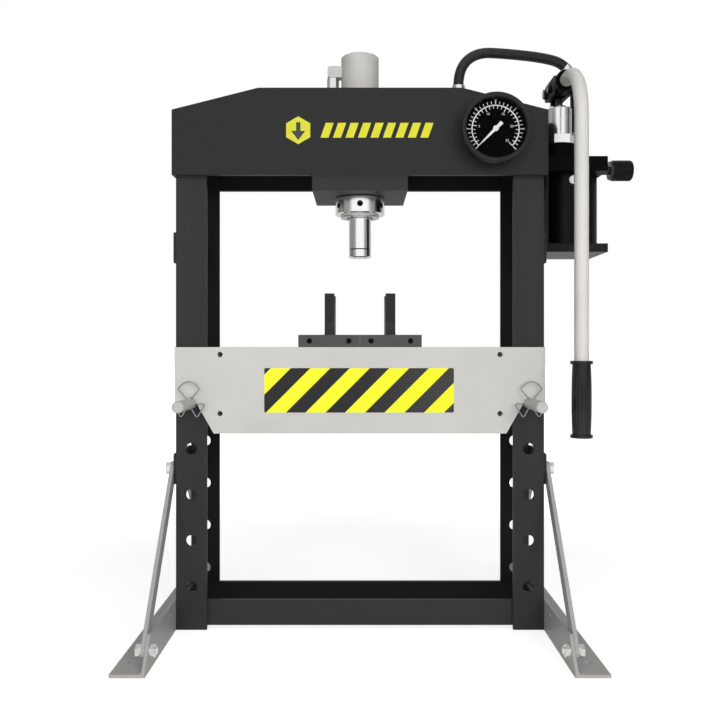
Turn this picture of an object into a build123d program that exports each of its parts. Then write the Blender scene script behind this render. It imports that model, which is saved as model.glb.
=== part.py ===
from build123d import *

import os
from math import atan2, cos, degrees, hypot, pi, radians, sin, tan

# Hydraulic shop press, in millimetres.
# +Z is up, the floor is Z 0, X 0 is midway between the columns and Y 0 is the middle of the frame's
# depth. The operator stands on the -Y side.

# ---- driving sizes: frame ----
span = 500.0  # clear width between the columns
bar_width = 50.0  # column bars, across the front
bar_thick = 8.0
frame_depth = 136.0  # over the outer faces of the column bars
column_top = 835.0
tie_thick = 5.0  # plates that tie a front bar to a rear bar
tie_height = 50.0
tie_chamfer = 3.0
tie_inset = 4.0  # tie plate's edge behind the column bars' outer faces
upper_tie_z = 624.0
pin_hole_clear = 0.5  # all round a bed pin
first_pin_z = 70.0
pin_pitch = 75.0
pin_stations = 5
crossbar_height = 41.0
crossbar_lift = 5.5  # the crossbars' clearance over the floor

# ---- driving sizes: beam ----
beam_bottom = 740.0
beam_side_height = 105.6
beam_height = 141.0
beam_top_width = 330.0
beam_thick = 10.0
support_width = 155.0
support_thick = 25.0

# ---- driving sizes: feet and braces ----
foot_leg = 50.0  # equal angle
foot_thick = 5.0
foot_length = 550.0
foot_end_setback = 35.0
foot_root_r = 4.0
floor_hole_d = 11.0
floor_hole_x = 30.0  # from the column's outer face
floor_hole_y = 226.0
inner_floor_hole_y = 50.0
spare_hole_d = 8.0
spare_hole_y = 112.0
spare_hole_z = 38.0
brace_width = 22.0
brace_thick = 6.0
brace_low_y = 245.0
brace_low_z = 28.0
brace_high_y = 49.5
brace_high_z = 261.5
bolt_d = 10.0
bolt_hole_d = 11.0
bolt_head_af = 17.0
bolt_head_height = 6.4
bolt_stub = 3.0  # thread showing past the nut
nut_height = 8.0
washer_d = 20.0
washer_thick = 2.0
thread_clear = 0.05  # plain cylinders stand for the threads
foot_screw_d = 8.0
foot_screw_head_d = 16.0
foot_screw_y = 25.0
foot_screw_length = 13.0
foot_screw_head = 4.0
foot_screw_key_af = 5.0
foot_screw_key_depth = 2.5
foot_screw_clear = 0.5
screw_seat_clear = 0.1
foot_tie_thick = 10.0

# ---- driving sizes: bed, pins and V-blocks ----
bed_past_column = 0.0  # bed plate's end past the column's outer face
bed_height = 140.0
bed_thick = 8.0
bed_side_clear = 1.0  # bed plate to column bar
bed_drop = 49.0  # bottom edge below the pins' centre line
bed_ledge_in = 10.0  # ledge starts this far inside the pins' centre line
bed_slant = 28.0
pin_d = 18.0
pin_rest_clear = 0.3
pin_front = 98.0  # free length in front of the bed
pin_rear = 23.0
pin_chamfer = 1.5
pin_slot_width = 5.0
pin_slot_length = 14.0
spacer_d = 20.0
spacer_hole_d = 8.5
spacer_from_column = 23.0
spacer_top_inset = 12.0
spacer_pitch_z = 95.6
clip_wire_d = 2.0
clip_leg_offset = 1.15  # the two legs pass each other side by side
clip_in_front = 12.0  # clip plane ahead of the bed plate
clip_arm = 27.0
clip_half = 12.5  # half the width at the clip's lowest bends
clip_drop = 23.0
clip_cross = 5.2
clip_hook = 7.0
bow_half = 18.0
bow_side_top = 24.0
bow_top = 42.0
clip_bends = [2.5, 2.5, 12.0, 4.0, 16.0, 4.0, 12.0, 2.5]
v_base_length = 100.0
v_base_height = 20.0
v_base_past_bed = 0.0  # base past the bed plates' outer faces
v_gap = 0.05
v_upright_thick = 16.0
v_upright_in = 42.6
v_upright_depth = 91.0
v_upright_height = 69.0
v_notch_depth = 33.5
v_hole_d = 8.8
v_hole_inset = 18.0
v_hole_depth = 25.0

# ---- driving sizes: cylinder and ram ----
cylinder_d = 64.0
cylinder_bore_d = 50.0
cylinder_top = 955.0
cylinder_rim = 2.5
end_cap_thick = 15.0
end_cap_inset = 3.0
cylinder_clear = 0.3  # cylinder to support plate
shoulder_wide = 13.0  # shoulder past the cylinder's wall
shoulder_height = 12.0
ring_nut_wall = 10.0
ring_nut_height = 30.0
ring_nut_chamfer = 2.0
spanner_hole_d = 10.0
spanner_hole_depth = 6.5
spanner_hole_tip = 3.0  # the drill's cone
spanner_holes = 6
tube_below_nut = 2.0
gland_lip = 1.0  # past the cylinder's wall
gland_chamfer = 1.0
gland_height = 3.0
gland_spigot = 17.0
wiper_d = 46.0
wiper_height = 5.0
wiper_lip = 1.5
wiper_rake = 0.3
rod_d = 38.0
rod_clear = 0.05
piston_clear = 0.05
seal_clear = 0.02
piston_height = 25.0
piston_top_gap = 15.0  # oil space under the end cap
seal_height = 6.0
seal_depth = 3.0
rod_thread_d = 20.0
rod_end_in = 2.0  # rod's end below the piston's top
ram_tip_z = 613.0
pad_height = 15.0
pad_groove = 2.0
pad_chamfer = 1.5
pad_floor_gap = 0.1
pad_spigot_d = 16.0
pad_spigot_length = 12.0
spring_wire_d = 5.0
spring_turns = 12
spring_seat = 0.3
port_d = 8.0
port_z = 928.5

# ---- driving sizes: oil line and gauge ----
elbow_length = 23.0
elbow_size = 19.0
elbow_chamfer = 2.5
elbow_stub = 4.0  # into the cylinder's wall
port_gap = 1.0  # stub to bore
pipe_in_block = 8.0
pipe_d = 10.0
pipe_out = 14.0  # pipe centre line from the cylinder's wall
pipe_nut_af = 17.6
pipe_nut_height = 20.0
pipe_side_clear = 5.0  # pipe to cylinder where it passes beside it
pipe_turn_z = 830.0
pipe_bend = 12.0
pipe_end_gap = 2.0  # pipe's end below the port's centre line
gauge_x = 215.5
gauge_z = 808.0
gauge_case_d = 100.0
gauge_case_depth = 34.0
gauge_wall = 2.0
gauge_back = 3.0
bezel_d = 111.0
bezel_lip = 3.0
bezel_skirt = 12.0
bezel_edge = 1.5
glass_thick = 3.0
dial_thick = 1.5
dial_edge_clear = 0.5
dial_hub_r = 9.0
dial_setback = 9.0  # dial face behind the front of the case
stem_d = 12.0
stem_length = 28.0
stem_clear = 3.0  # stem to beam plate
pointer_thick = 1.0
pointer_reach = 40.0
pointer_tail = 14.0
pointer_width = 5.0
pointer_tail_width = 6.0
pointer_tip_width = 1.0
pointer_waist = 4.0  # widest place behind the shaft
pointer_hub_d = 9.0
pointer_hub_rise = 1.5
pointer_shaft_d = 3.0
pointer_gap = 3.5
pointer_shaft_clear = 0.25
pointer_end_gap = 3.0
manifold_size = 30.0

# ---- driving sizes: pump ----
bracket_thick = 4.0
tank_back_clear = 3.0  # tank to back plate
shelf_past_tank = 3.0
shelf_beside_tank = 16.0
pump_base_z = 617.0
pump_base_thick = 14.0
tank_d = 91.0
tank_wall = 2.5
tank_height = 119.0
head_height = 24.0
barrel_x_inset = 31.0  # barrel axis from the bracket plate
barrel_base_d = 54.0
barrel_base_height = 31.0
barrel_floor = 6.0
oil_gap = 2.0  # round the plunger below its bore
barrel_nut_af = 46.0
barrel_nut_height = 15.0
barrel_d = 42.0
barrel_height = 49.0
barrel_chamfer = 3.0
plunger_d = 12.0
plunger_clear = 0.05
plunger_length = 109.0
fulcrum_y = 34.0
pivot_above_barrel = 33.0
fulcrum_pin_d = 10.0
plunger_pin_d = 8.0
lever_pin_head = 5.0
lever_pin_stub = 2.5
pin_clear = 0.05
post_width = 13.0
post_depth = 12.0
post_eye_d = 17.0
cheek_gap = 15.0
cheek_thick = 7.5
cheek_end_r = 14.0
cheek_root_r = 15.5
cheek_root_in = 4.0  # root's middle ahead of the socket's back
cheek_root_drop = 1.0
socket_d = 35.0
socket_front = 54.0
socket_back = 24.0
socket_wall_back = 4.0
socket_chamfer = 1.5
socket_above_pivot = -1.0
eye_width = 12.0
eye_front = 9.0
eye_back = 17.0
eye_height = 19.0
eye_round = 3.0
slot_height = 10.4
slot_back = 8.8
handle_d = 22.0
handle_wall = 2.0
handle_fit = 0.1
handle_end_gap = 1.0
handle_out_y = 151.0
handle_bend = 83.0
grip_bottom_z = 322.0
grip_length = 118.0
grip_d = 30.4
grip_swell = 1.2
grip_flange_d = 34.0
grip_flange = 5.0
grip_flutes = 14
flute_d = 3.2
flute_out = 0.6  # flute's centre past the grip's surface
flute_inset = 6.0
grip_end = 8.0
spindle_d = 14.0
spindle_length = 44.0
spindle_in = 26.0
spindle_end_gap = 1.0
spindle_flange_d = 31.6
spindle_flange = 5.0
spindle_tip_d = 8.0
spindle_tip = 12.0
knob_d = 34.8
knob_length = 34.0
knob_dome = 5.0
knob_flutes = 8
knob_flute_d = 6.0
knob_flute_at = 18.9  # flutes' centres from the axis
filler_head_d = 16.4
filler_head = 4.4
filler_d = 6.0
filler_x_shift = -4.8  # from the tank's middle
filler_z = 738.4
filler_slot = 1.8
filler_slot_length = 9.8
filler_slot_depth = 2.0
filler_round = 2.5
filler_length = 8.0
filler_seat_clear = 0.1

# ---- driving sizes: hose ----
hose_d = 17.5
ferrule_d = 22.0
ferrule_length = 34.0
hose_nipple_d = 12.0
hose_nut_af = 22.0
hose_nut_height = 12.0
pump_ferrule_length = 46.0
pump_nut_height = 16.0
nipple_depth = 12.0
hose_beam_x = 168.0
hose_above_beam = 25.0
hose_past_barrel = 39.0
hose_pump_y = 45.0
hose_route = [
    (168, 0, 906),
    (168, 0, 936),
    (199, 4, 966),
    (254, 14, 966.5),
    (318, 31, 965.5),
    (357, 42, 959),
    (378, 45, 928),
    (379, 45, 880),
    (379, 45, 836),
]

# ---- places that follow from the sizes ----
column_in = span / 2
column_out = column_in + bar_width
column_mid = column_in + bar_width / 2
frame_side = column_out + tie_thick
frame_y = frame_depth / 2
bar_inner_y = frame_y - bar_thick
tie_y = frame_y - tie_inset
beam_y = frame_y + beam_thick
beam_top = beam_bottom + beam_height
beam_shoulder = beam_bottom + beam_side_height
pin_hole_d = pin_d + 2 * pin_hole_clear
pin_z = [first_pin_z + i * pin_pitch for i in range(pin_stations)]
bed_pin_z = pin_z[-1]
bed_bottom = bed_pin_z - bed_drop
bed_top = bed_bottom + bed_height
bed_inner_y = frame_y + bed_side_clear
spacer_x = column_in - spacer_from_column
bed_y = bed_inner_y + bed_thick
v_base_y = bed_y + v_base_past_bed
support_bottom = beam_bottom - support_thick
nut_bottom = support_bottom - ring_nut_height
tube_bottom = nut_bottom - tube_below_nut
ring_nut_d = cylinder_d + 2 * ring_nut_wall
gland_d = cylinder_d + 2 * gland_lip
gland_bottom = tube_bottom - gland_height
gland_top = tube_bottom + gland_spigot
end_cap_bottom = cylinder_top - end_cap_inset - end_cap_thick
piston_top = end_cap_bottom - piston_top_gap
piston_bottom = piston_top - piston_height
pipe_x = -(cylinder_d / 2 + pipe_out)
pipe_side_y = cylinder_d / 2 + pipe_side_clear + pipe_d / 2
gauge_back_y = -beam_y
gauge_front_y = gauge_back_y - gauge_case_depth
dial_y = gauge_front_y + dial_setback
manifold_bottom = gauge_z - manifold_size / 2
manifold_top = gauge_z + manifold_size / 2
manifold_left = gauge_x - manifold_size / 2
pump_left = frame_side + bracket_thick
pump_mid = pump_left + tank_back_clear + tank_d / 2
pump_right = pump_mid + tank_d / 2 + shelf_past_tank
pump_side_y = tank_d / 2 + shelf_beside_tank
filler_x = pump_mid + filler_x_shift
tank_bottom = pump_base_z + pump_base_thick
head_bottom = tank_bottom + tank_height
head_top = head_bottom + head_height
barrel_x = pump_left + barrel_x_inset
barrel_nut_bottom = head_top + barrel_base_height
barrel_bottom = barrel_nut_bottom + barrel_nut_height
barrel_top = barrel_bottom + barrel_height
pivot_z = barrel_top + pivot_above_barrel
socket_z = pivot_z + socket_above_pivot
brace_x = frame_side

from_base = (Align.CENTER, Align.CENTER, Align.MIN)

nodes = {}


def block(x, y, z):
    """A box between two corners, each given as (low, high) along its axis."""
    centre = Pos((x[0] + x[1]) / 2, (y[0] + y[1]) / 2, (z[0] + z[1]) / 2)
    return centre * Box(x[1] - x[0], y[1] - y[0], z[1] - z[0])


def along_x(x0, x1, y, z, d):
    """A round bar along X from x0 to x1."""
    return Pos((x0 + x1) / 2, y, z) * Rot(0, 90, 0) * Cylinder(d / 2, abs(x1 - x0))


def along_y(x, y0, y1, z, d):
    """A round bar along Y from y0 to y1."""
    return Pos(x, (y0 + y1) / 2, z) * Rot(90, 0, 0) * Cylinder(d / 2, abs(y1 - y0))


def along_z(x, y, z0, z1, d):
    """A round bar along Z from z0 to z1."""
    return Pos(x, y, (z0 + z1) / 2) * Cylinder(d / 2, abs(z1 - z0))


def hexagon_along_z(x, y, z0, z1, across_flats):
    """A hexagonal bar along Z."""
    flat = RegularPolygon(across_flats / 2, 6, major_radius=False)
    return Pos(x, y, z0) * extrude(flat, z1 - z0)


def hexagon_along_x(x0, x1, y, z, across_flats):
    """A hexagonal bar along X from x0 to x1."""
    flat = RegularPolygon(across_flats / 2, 6, major_radius=False)
    return Pos(min(x0, x1), y, z) * Rot(0, 90, 0) * extrude(flat, abs(x1 - x0))


def turned(points):
    """A solid of revolution about Z from an outline of (radius, z) points."""
    outline = make_face(Polyline([(r, 0, z) for r, z in points], close=True))
    return revolve(outline, Axis.Z)


def keep(name, *pieces):
    """Stores a node, as one solid or as a group of separate solids."""
    solids = [s for piece in pieces for s in piece.solids()]
    nodes[name] = solids[0] if len(solids) == 1 else Compound(solids)


# ---- frame ----
def column(side):
    """The front and rear bars of one column, each with a row of pin holes."""
    bars = []
    for low in (-frame_y, bar_inner_y):
        x = sorted((side * column_in, side * column_out))
        bar = block(x, (low, low + bar_thick), (0, column_top))
        for z in pin_z:
            bar -= along_y(side * column_mid, low - 1, low + bar_thick + 1, z, pin_hole_d)
        bars.append(bar)
    return bars


def beam_plate():
    """The beam's plate in the XZ plane: upright ends, sloping shoulders and a flat top."""
    half, flat = frame_side, beam_top_width / 2
    points = [(-half, beam_bottom), (half, beam_bottom), (half, beam_shoulder)]
    points += [(flat, beam_top), (-flat, beam_top), (-half, beam_shoulder)]
    face = make_face(Polyline([(x, 0, z) for x, z in points], close=True))
    return extrude(face, beam_thick, dir=(0, 1, 0))


def tie_plates():
    """Plates that join the front and rear bars of each column, and close the beam's ends."""
    plates = []
    for side in (-1, 1):
        x = sorted((side * column_out, side * frame_side))
        for z in (upper_tie_z, brace_high_z):
            plate = block(x, (-tie_y, tie_y), (z - tie_height / 2, z + tie_height / 2))
            plate = chamfer(plate.edges().filter_by(Axis.X), tie_chamfer)
            if z == brace_high_z:
                for y in (-brace_high_y, brace_high_y):
                    plate -= along_x(x[0] - 1, x[1] + 1, y, z, bolt_hole_d)
            plates.append(plate)
        plates.append(block(x, (-frame_y, frame_y), (beam_bottom, beam_shoulder)))
        x = sorted((side * (column_out - foot_tie_thick), side * column_out))
        low_y = bar_inner_y - bar_thick
        plate = block(x, (-low_y, low_y), (crossbar_lift, crossbar_lift + crossbar_height))
        for y in (-foot_screw_y, foot_screw_y):
            plate -= along_x(x[0] - 1, x[1] + 1, y, brace_low_z, foot_screw_d + 2 * thread_clear)
        plates.append(plate)
    return plates


def crossbars():
    """Two flat bars on edge behind the column bars, just off the floor."""
    z = (crossbar_lift, crossbar_lift + crossbar_height)
    front = block((-column_out, column_out), (-bar_inner_y, -bar_inner_y + bar_thick), z)
    rear = block((-column_out, column_out), (bar_inner_y - bar_thick, bar_inner_y), z)
    return [front, rear]


def foot(side):
    """An equal angle on the floor, its upright leg against the column and cut back at both ends."""
    half = foot_length / 2
    sole = block((column_out, column_out + foot_leg), (-half, half), (0, foot_thick))
    points = [(-half, 0), (half, 0), (half, foot_thick), (half - foot_end_setback, foot_leg)]
    points += [(foot_end_setback - half, foot_leg), (-half, foot_thick)]
    face = make_face(Polyline([(column_out, y, z) for y, z in points], close=True))
    part = sole + extrude(face, foot_thick, dir=(1, 0, 0))
    inside = part.edges().filter_by(Axis.Y)
    corner = inside.filter_by_position(Axis.X, frame_side - 0.1, frame_side + 0.1)
    part = fillet(corner.filter_by_position(Axis.Z, foot_thick - 0.1, foot_thick + 0.1), foot_root_r)
    through = (column_out - 1, frame_side + 1)
    for y in (-floor_hole_y, -inner_floor_hole_y, inner_floor_hole_y, floor_hole_y):
        part -= along_z(column_out + floor_hole_x, y, -1, foot_thick + 1, floor_hole_d)
    for sign in (-1, 1):
        part -= along_x(*through, sign * brace_low_y, brace_low_z, bolt_hole_d)
        part -= along_x(*through, sign * spare_hole_y, spare_hole_z, spare_hole_d)
        y = sign * foot_screw_y
        part -= along_x(*through, y, brace_low_z, foot_screw_d + 2 * foot_screw_clear)
        wide, narrow = foot_screw_head_d / 2 + screw_seat_clear, foot_screw_d / 2 + screw_seat_clear
        seat = Cone(wide, narrow, foot_screw_head + 2 * screw_seat_clear, align=from_base)
        part -= Pos(frame_side, y, brace_low_z) * Rot(0, -90, 0) * seat
    return part if side > 0 else mirror(part, Plane.YZ)


def foot_screws():
    """Countersunk screws that hold each foot to its column."""
    screws = []
    for side in (-1, 1):
        for y in (-foot_screw_y, foot_screw_y):
            head = Cone(foot_screw_head_d / 2, foot_screw_d / 2, foot_screw_head, align=from_base)
            shank = Cylinder(foot_screw_d / 2, foot_screw_length, align=from_base)
            key = RegularPolygon(foot_screw_key_af / 2, 6, major_radius=False)
            socket = extrude(key, foot_screw_key_depth)
            screw = Pos(frame_side, y, brace_low_z) * Rot(0, -90, 0) * (head + shank - socket)
            screws.append(screw if side > 0 else mirror(screw, Plane.YZ))
    return screws


def braces(side):
    """The front and rear braces of one column: flat bars with round ends."""
    length = hypot(brace_low_y - brace_high_y, brace_high_z - brace_low_z)
    angle = degrees(atan2(brace_high_z - brace_low_z, brace_low_y - brace_high_y))
    middle_y = (brace_low_y + brace_high_y) / 2
    middle_z = (brace_low_z + brace_high_z) / 2
    plane = Plane(origin=(brace_x, -middle_y, middle_z), x_dir=(0, 1, 0), z_dir=(1, 0, 0))
    bar = plane * Rot(0, 0, angle) * extrude(SlotCenterToCenter(length, brace_width), brace_thick)
    for y, z in ((-brace_low_y, brace_low_z), (-brace_high_y, brace_high_z)):
        bar -= along_x(brace_x - 1, brace_x + brace_thick + 1, y, z, bolt_hole_d)
    if side < 0:
        bar = mirror(bar, Plane.YZ)
    return [bar, mirror(bar, Plane.XZ)]


def brace_fasteners():
    """Hex bolts through braces and frame, with a washer under each head and a nut inside."""
    bolts, washers, nuts = [], [], []
    seat = brace_x + brace_thick
    head = seat + washer_thick
    for side in (-1, 1):
        for y_sign in (-1, 1):
            for y, z in ((brace_low_y, brace_low_z), (brace_high_y, brace_high_z)):
                place = y_sign * y
                end = side * (column_out - nut_height - bolt_stub)
                shank = along_x(end, side * head, place, z, bolt_d)
                cap = hexagon_along_x(side * head, side * (head + bolt_head_height), place, z, bolt_head_af)
                bolts.append(shank + cap)
                ring = along_x(side * seat, side * head, place, z, washer_d)
                washers.append(ring - along_x(side * (seat - 1), side * (head + 1), place, z, bolt_hole_d))
                inner = side * (column_out - nut_height)
                nut = hexagon_along_x(inner, side * column_out, place, z, bolt_head_af)
                bore = bolt_d + 2 * thread_clear
                nuts.append(nut - along_x(end, side * (column_out + 1), place, z, bore))
    return bolts, washers, nuts


for label, side in (("left", -1), ("right", 1)):
    keep(f"column_{label}", *column(side))
    keep(f"foot_{label}", foot(side))
    keep(f"braces_{label}", *braces(side))
front_plate = Pos(0, -beam_y, 0) * beam_plate()
stem_hole_d = stem_d + 2 * stem_clear
front_plate -= along_y(gauge_x, -beam_y - 1, -frame_y + 1, gauge_z, stem_hole_d)
keep("beam_plate_front", front_plate)
keep("beam_plate_rear", Pos(0, frame_y, 0) * beam_plate())
keep("column_tie_plates", *tie_plates())
keep("lower_crossbars", *crossbars())
keep("foot_screws", *foot_screws())
brace_bolts, brace_washers, brace_nuts = brace_fasteners()
keep("brace_bolts", *brace_bolts)
keep("brace_washers", *brace_washers)
keep("brace_nuts", *brace_nuts)


# ---- cylinder ----
def support_plate():
    """The thick plate under the beam that the ring nut pulls the cylinder against."""
    half = support_width / 2
    plate = block((-half, half), (-beam_y, beam_y), (support_bottom, beam_bottom))
    hole_d = cylinder_d + 2 * cylinder_clear
    return plate - along_z(0, 0, support_bottom - 1, beam_bottom + 1, hole_d)


def cylinder_tube():
    """The cylinder: a bored tube with a shoulder that sits on the support plate."""
    r, bore, rim = cylinder_d / 2, cylinder_bore_d / 2, cylinder_rim
    shoulder, shoulder_top = r + shoulder_wide, beam_bottom + shoulder_height
    points = [(bore, tube_bottom), (r, tube_bottom), (r, beam_bottom), (shoulder, beam_bottom)]
    points += [(shoulder, shoulder_top), (r, shoulder_top), (r, cylinder_top - rim)]
    points += [(r - rim, cylinder_top), (bore, cylinder_top)]
    tube = turned(points)
    return tube - along_x(-r - 1, 0, 0, port_z, port_d)


def ring_nut():
    """The round nut on the cylinder's lower end, with radial holes for a hook spanner."""
    nut = along_z(0, 0, nut_bottom, support_bottom, ring_nut_d)
    nut = chamfer(nut.edges().filter_by(GeomType.CIRCLE), ring_nut_chamfer)
    nut -= along_z(0, 0, nut_bottom - 1, support_bottom + 1, cylinder_d + 2 * thread_clear)
    z = (nut_bottom + support_bottom) / 2
    reach = ring_nut_d / 2
    tip = Cone(spanner_hole_d / 2, 0, spanner_hole_tip, align=from_base)
    for i in range(spanner_holes):
        hole = along_y(0, -reach - 1, -reach + spanner_hole_depth, z, spanner_hole_d)
        hole += Pos(0, -reach + spanner_hole_depth, z) * Rot(-90, 0, 0) * tip
        nut -= Rot(0, 0, 360 * i / spanner_holes) * hole
    return nut


def gland_ring():
    """The guide ring screwed into the cylinder's open end, bored to guide the rod."""
    bore = rod_d / 2 + rod_clear
    recess = wiper_d / 2
    spigot = cylinder_bore_d / 2 - thread_clear
    flange = gland_d / 2
    recess_top = gland_bottom + wiper_height
    points = [(recess, gland_bottom), (flange - gland_chamfer, gland_bottom)]
    points += [(flange, gland_bottom + gland_chamfer)]
    points += [(flange, tube_bottom), (spigot, tube_bottom), (spigot, gland_top), (bore, gland_top)]
    points += [(bore, recess_top), (recess, recess_top)]
    return turned(points)


def rod_wiper():
    """The rubber lip that wipes the rod, in the gland's recess."""
    lip = rod_d / 2 + seal_clear
    outer = wiper_d / 2
    points = [(lip, gland_bottom), (lip + wiper_lip, gland_bottom + wiper_rake)]
    points += [(outer, gland_bottom + 2 * wiper_rake)]
    points += [(outer, gland_bottom + wiper_height), (lip, gland_bottom + wiper_height)]
    return turned(points)


def piston():
    """The piston, grooved for its seal and bored for the rod's threaded end."""
    r = cylinder_bore_d / 2 - piston_clear
    groove = r - seal_depth
    middle = (piston_top + piston_bottom) / 2
    bore = rod_thread_d / 2 + thread_clear
    points = [(bore, piston_bottom), (r, piston_bottom), (r, middle - seal_height / 2)]
    points += [(groove, middle - seal_height / 2), (groove, middle + seal_height / 2)]
    points += [(r, middle + seal_height / 2), (r, piston_top), (bore, piston_top)]
    return turned(points)


def piston_seal():
    """The rubber ring in the piston's groove."""
    outer = cylinder_bore_d / 2 - seal_clear
    inner = cylinder_bore_d / 2 - piston_clear - seal_depth
    middle = (piston_top + piston_bottom) / 2
    low, high = middle - seal_height / 2, middle + seal_height / 2
    return turned([(inner, low), (outer, low), (outer, high), (inner, high)])


def ram_rod():
    """The plated rod, with a threaded end for the piston and a spigot for the pressure pad."""
    shoulder = ram_tip_z + pad_height
    rod = along_z(0, 0, shoulder, piston_bottom, rod_d)
    rod += along_z(0, 0, piston_bottom - 1, piston_top - rod_end_in, rod_thread_d)
    return rod + along_z(0, 0, shoulder - pad_spigot_length, shoulder + 1, pad_spigot_d)


def pressure_pad():
    """The loose pad on the rod's end that bears on the work."""
    top = ram_tip_z + pad_height
    r = rod_d / 2
    hole = pad_spigot_d / 2 + thread_clear
    floor = top - pad_spigot_length - pad_floor_gap
    neck = r - pad_chamfer
    points = [(0, ram_tip_z), (neck, ram_tip_z), (r, ram_tip_z + pad_chamfer), (r, top - pad_groove)]
    points += [(neck, top - pad_groove), (neck, top), (hole, top), (hole, floor), (0, floor)]
    return turned(points)


def return_spring():
    """The compression spring round the rod that lifts the ram."""
    low = gland_top + spring_seat + spring_wire_d / 2
    high = piston_bottom - spring_seat - spring_wire_d / 2
    mean_r = (rod_d / 2 + cylinder_bore_d / 2) / 2
    coil = Helix((high - low) / spring_turns, high - low, mean_r)
    section = Plane(origin=coil @ 0, z_dir=coil % 0) * Circle(spring_wire_d / 2)
    return Pos(0, 0, low) * sweep(section, coil, is_frenet=True)


keep("cylinder_support_plate", support_plate())
keep("cylinder_tube", cylinder_tube())
cap_d = cylinder_bore_d - 2 * thread_clear
keep("cylinder_end_cap", along_z(0, 0, end_cap_bottom, end_cap_bottom + end_cap_thick, cap_d))
keep("ring_nut", ring_nut())
keep("gland_ring", gland_ring())
keep("rod_wiper", rod_wiper())
keep("piston", piston())
keep("piston_seal", piston_seal())
keep("ram_rod", ram_rod())
keep("pressure_pad", pressure_pad())
keep("return_spring", return_spring())


# ---- oil line ----
def port_elbow():
    """The square elbow on the cylinder's side, with its stub in the port."""
    wall = -cylinder_d / 2
    half = elbow_size / 2
    body = block((wall - elbow_length, wall + 2), (-half, half), (port_z - half, port_z + half))
    body = chamfer(body.edges().filter_by(Axis.Y).group_by(Axis.X)[0], elbow_chamfer)
    body -= along_z(0, 0, port_z - elbow_size, port_z + elbow_size, cylinder_d + 2 * thread_clear)
    stub_end = -cylinder_bore_d / 2 - port_gap
    body += along_x(wall - elbow_stub, stub_end, 0, port_z, port_d - 2 * thread_clear)
    return body - along_z(pipe_x, 0, port_z - half - 1, port_z, pipe_d + 2 * thread_clear)


def feed_pipe():
    """The steel pipe from the manifold, round the cylinder and up to the elbow."""
    points = [(pipe_x, 0, port_z - pipe_end_gap), (pipe_x, 0, pipe_turn_z)]
    points += [(pipe_x, -pipe_side_y, gauge_z)]
    points += [(manifold_left + pipe_in_block, -pipe_side_y, gauge_z)]
    path = FilletPolyline(*points, radius=pipe_bend)
    section = Plane(origin=path @ 0, z_dir=path % 0) * Circle(pipe_d / 2)
    return sweep(section, path)


def manifold():
    """The block behind the gauge where hose, gauge and pipe meet."""
    z = (manifold_bottom, manifold_top)
    half = manifold_size / 2
    body = block((manifold_left, manifold_left + manifold_size), (-frame_y, half), z)
    body += block((hose_beam_x - half, manifold_left + 1), (-half, half), z)
    body -= along_y(gauge_x, -frame_y - 1, gauge_back_y + stem_length, gauge_z, stem_d + 2 * thread_clear)
    end = manifold_left + pipe_in_block
    body -= along_x(manifold_left - 1, end, -pipe_side_y, gauge_z, pipe_d + 2 * thread_clear)
    nipple = hose_nipple_d + 2 * thread_clear
    return body - along_z(hose_beam_x, 0, manifold_top - nipple_depth, manifold_top + 1, nipple)


def pipe_nuts():
    """The nuts that hold the pipe in the elbow and in the manifold."""
    bore = pipe_d + 2 * thread_clear
    top = port_z - elbow_size / 2
    upper = hexagon_along_z(pipe_x, 0, top - pipe_nut_height, top, pipe_nut_af)
    upper -= along_z(pipe_x, 0, top - pipe_nut_height - 1, top + 1, bore)
    end = manifold_left
    lower = hexagon_along_x(end - pipe_nut_height / 2, end, -pipe_side_y, gauge_z, pipe_nut_af)
    lower -= along_x(end - pipe_nut_height, end + 1, -pipe_side_y, gauge_z, bore)
    return [upper, lower]


def hose_fittings():
    """The crimped ends of the hose: one drops into the manifold, one screws into the pump's head."""
    x, top = hose_beam_x, beam_top + hose_above_beam
    low = top - ferrule_length
    beam_end = along_z(x, 0, manifold_top - nipple_depth, top, hose_nipple_d)
    beam_end += along_z(x, 0, low, top, ferrule_d)
    beam_end += hexagon_along_z(x, 0, low - hose_nut_height, low, hose_nut_af)
    x, low = barrel_x + hose_past_barrel, head_top + pump_nut_height
    pump_end = along_z(x, hose_pump_y, low, low + pump_ferrule_length, ferrule_d)
    pump_end += hexagon_along_z(x, hose_pump_y, head_top, low, hose_nut_af)
    return [beam_end, pump_end]


def hose():
    """The pressure hose: straight runs joined by the largest tangent arcs that they allow."""
    points = [Vector(*p) for p in hose_route]
    runs = [b - a for a, b in zip(points, points[1:])]
    radii = []
    for before, after in zip(runs, runs[1:]):
        half_turn = radians(before.get_angle(after)) / 2
        radii.append(0.45 * min(before.length, after.length) / tan(half_turn))
    path = FilletPolyline(*points, radius=radii)
    section = Plane(origin=path @ 0, z_dir=path % 0) * Circle(hose_d / 2)
    tube = sweep(section, path)
    expected = pi * hose_d**2 / 4 * path.length
    print("hose radii", [round(r) for r in radii], "length", round(path.length, 1))
    print("hose volume", round(tube.volume), "section times length", round(expected))
    return tube


keep("port_elbow", port_elbow())
keep("feed_pipe", feed_pipe())
keep("gauge_manifold", manifold())
keep("pipe_nuts", *pipe_nuts())
keep("hose_fittings", *hose_fittings())
keep("hose", hose())


# ---- gauge ----
def facing_front(points):
    """A solid of revolution about the gauge's axis from (radius, y) points."""
    outline = make_face(Polyline([(r, y, 0) for r, y in points], close=True))
    return Pos(gauge_x, 0, gauge_z) * revolve(outline, Axis.Y)


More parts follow.
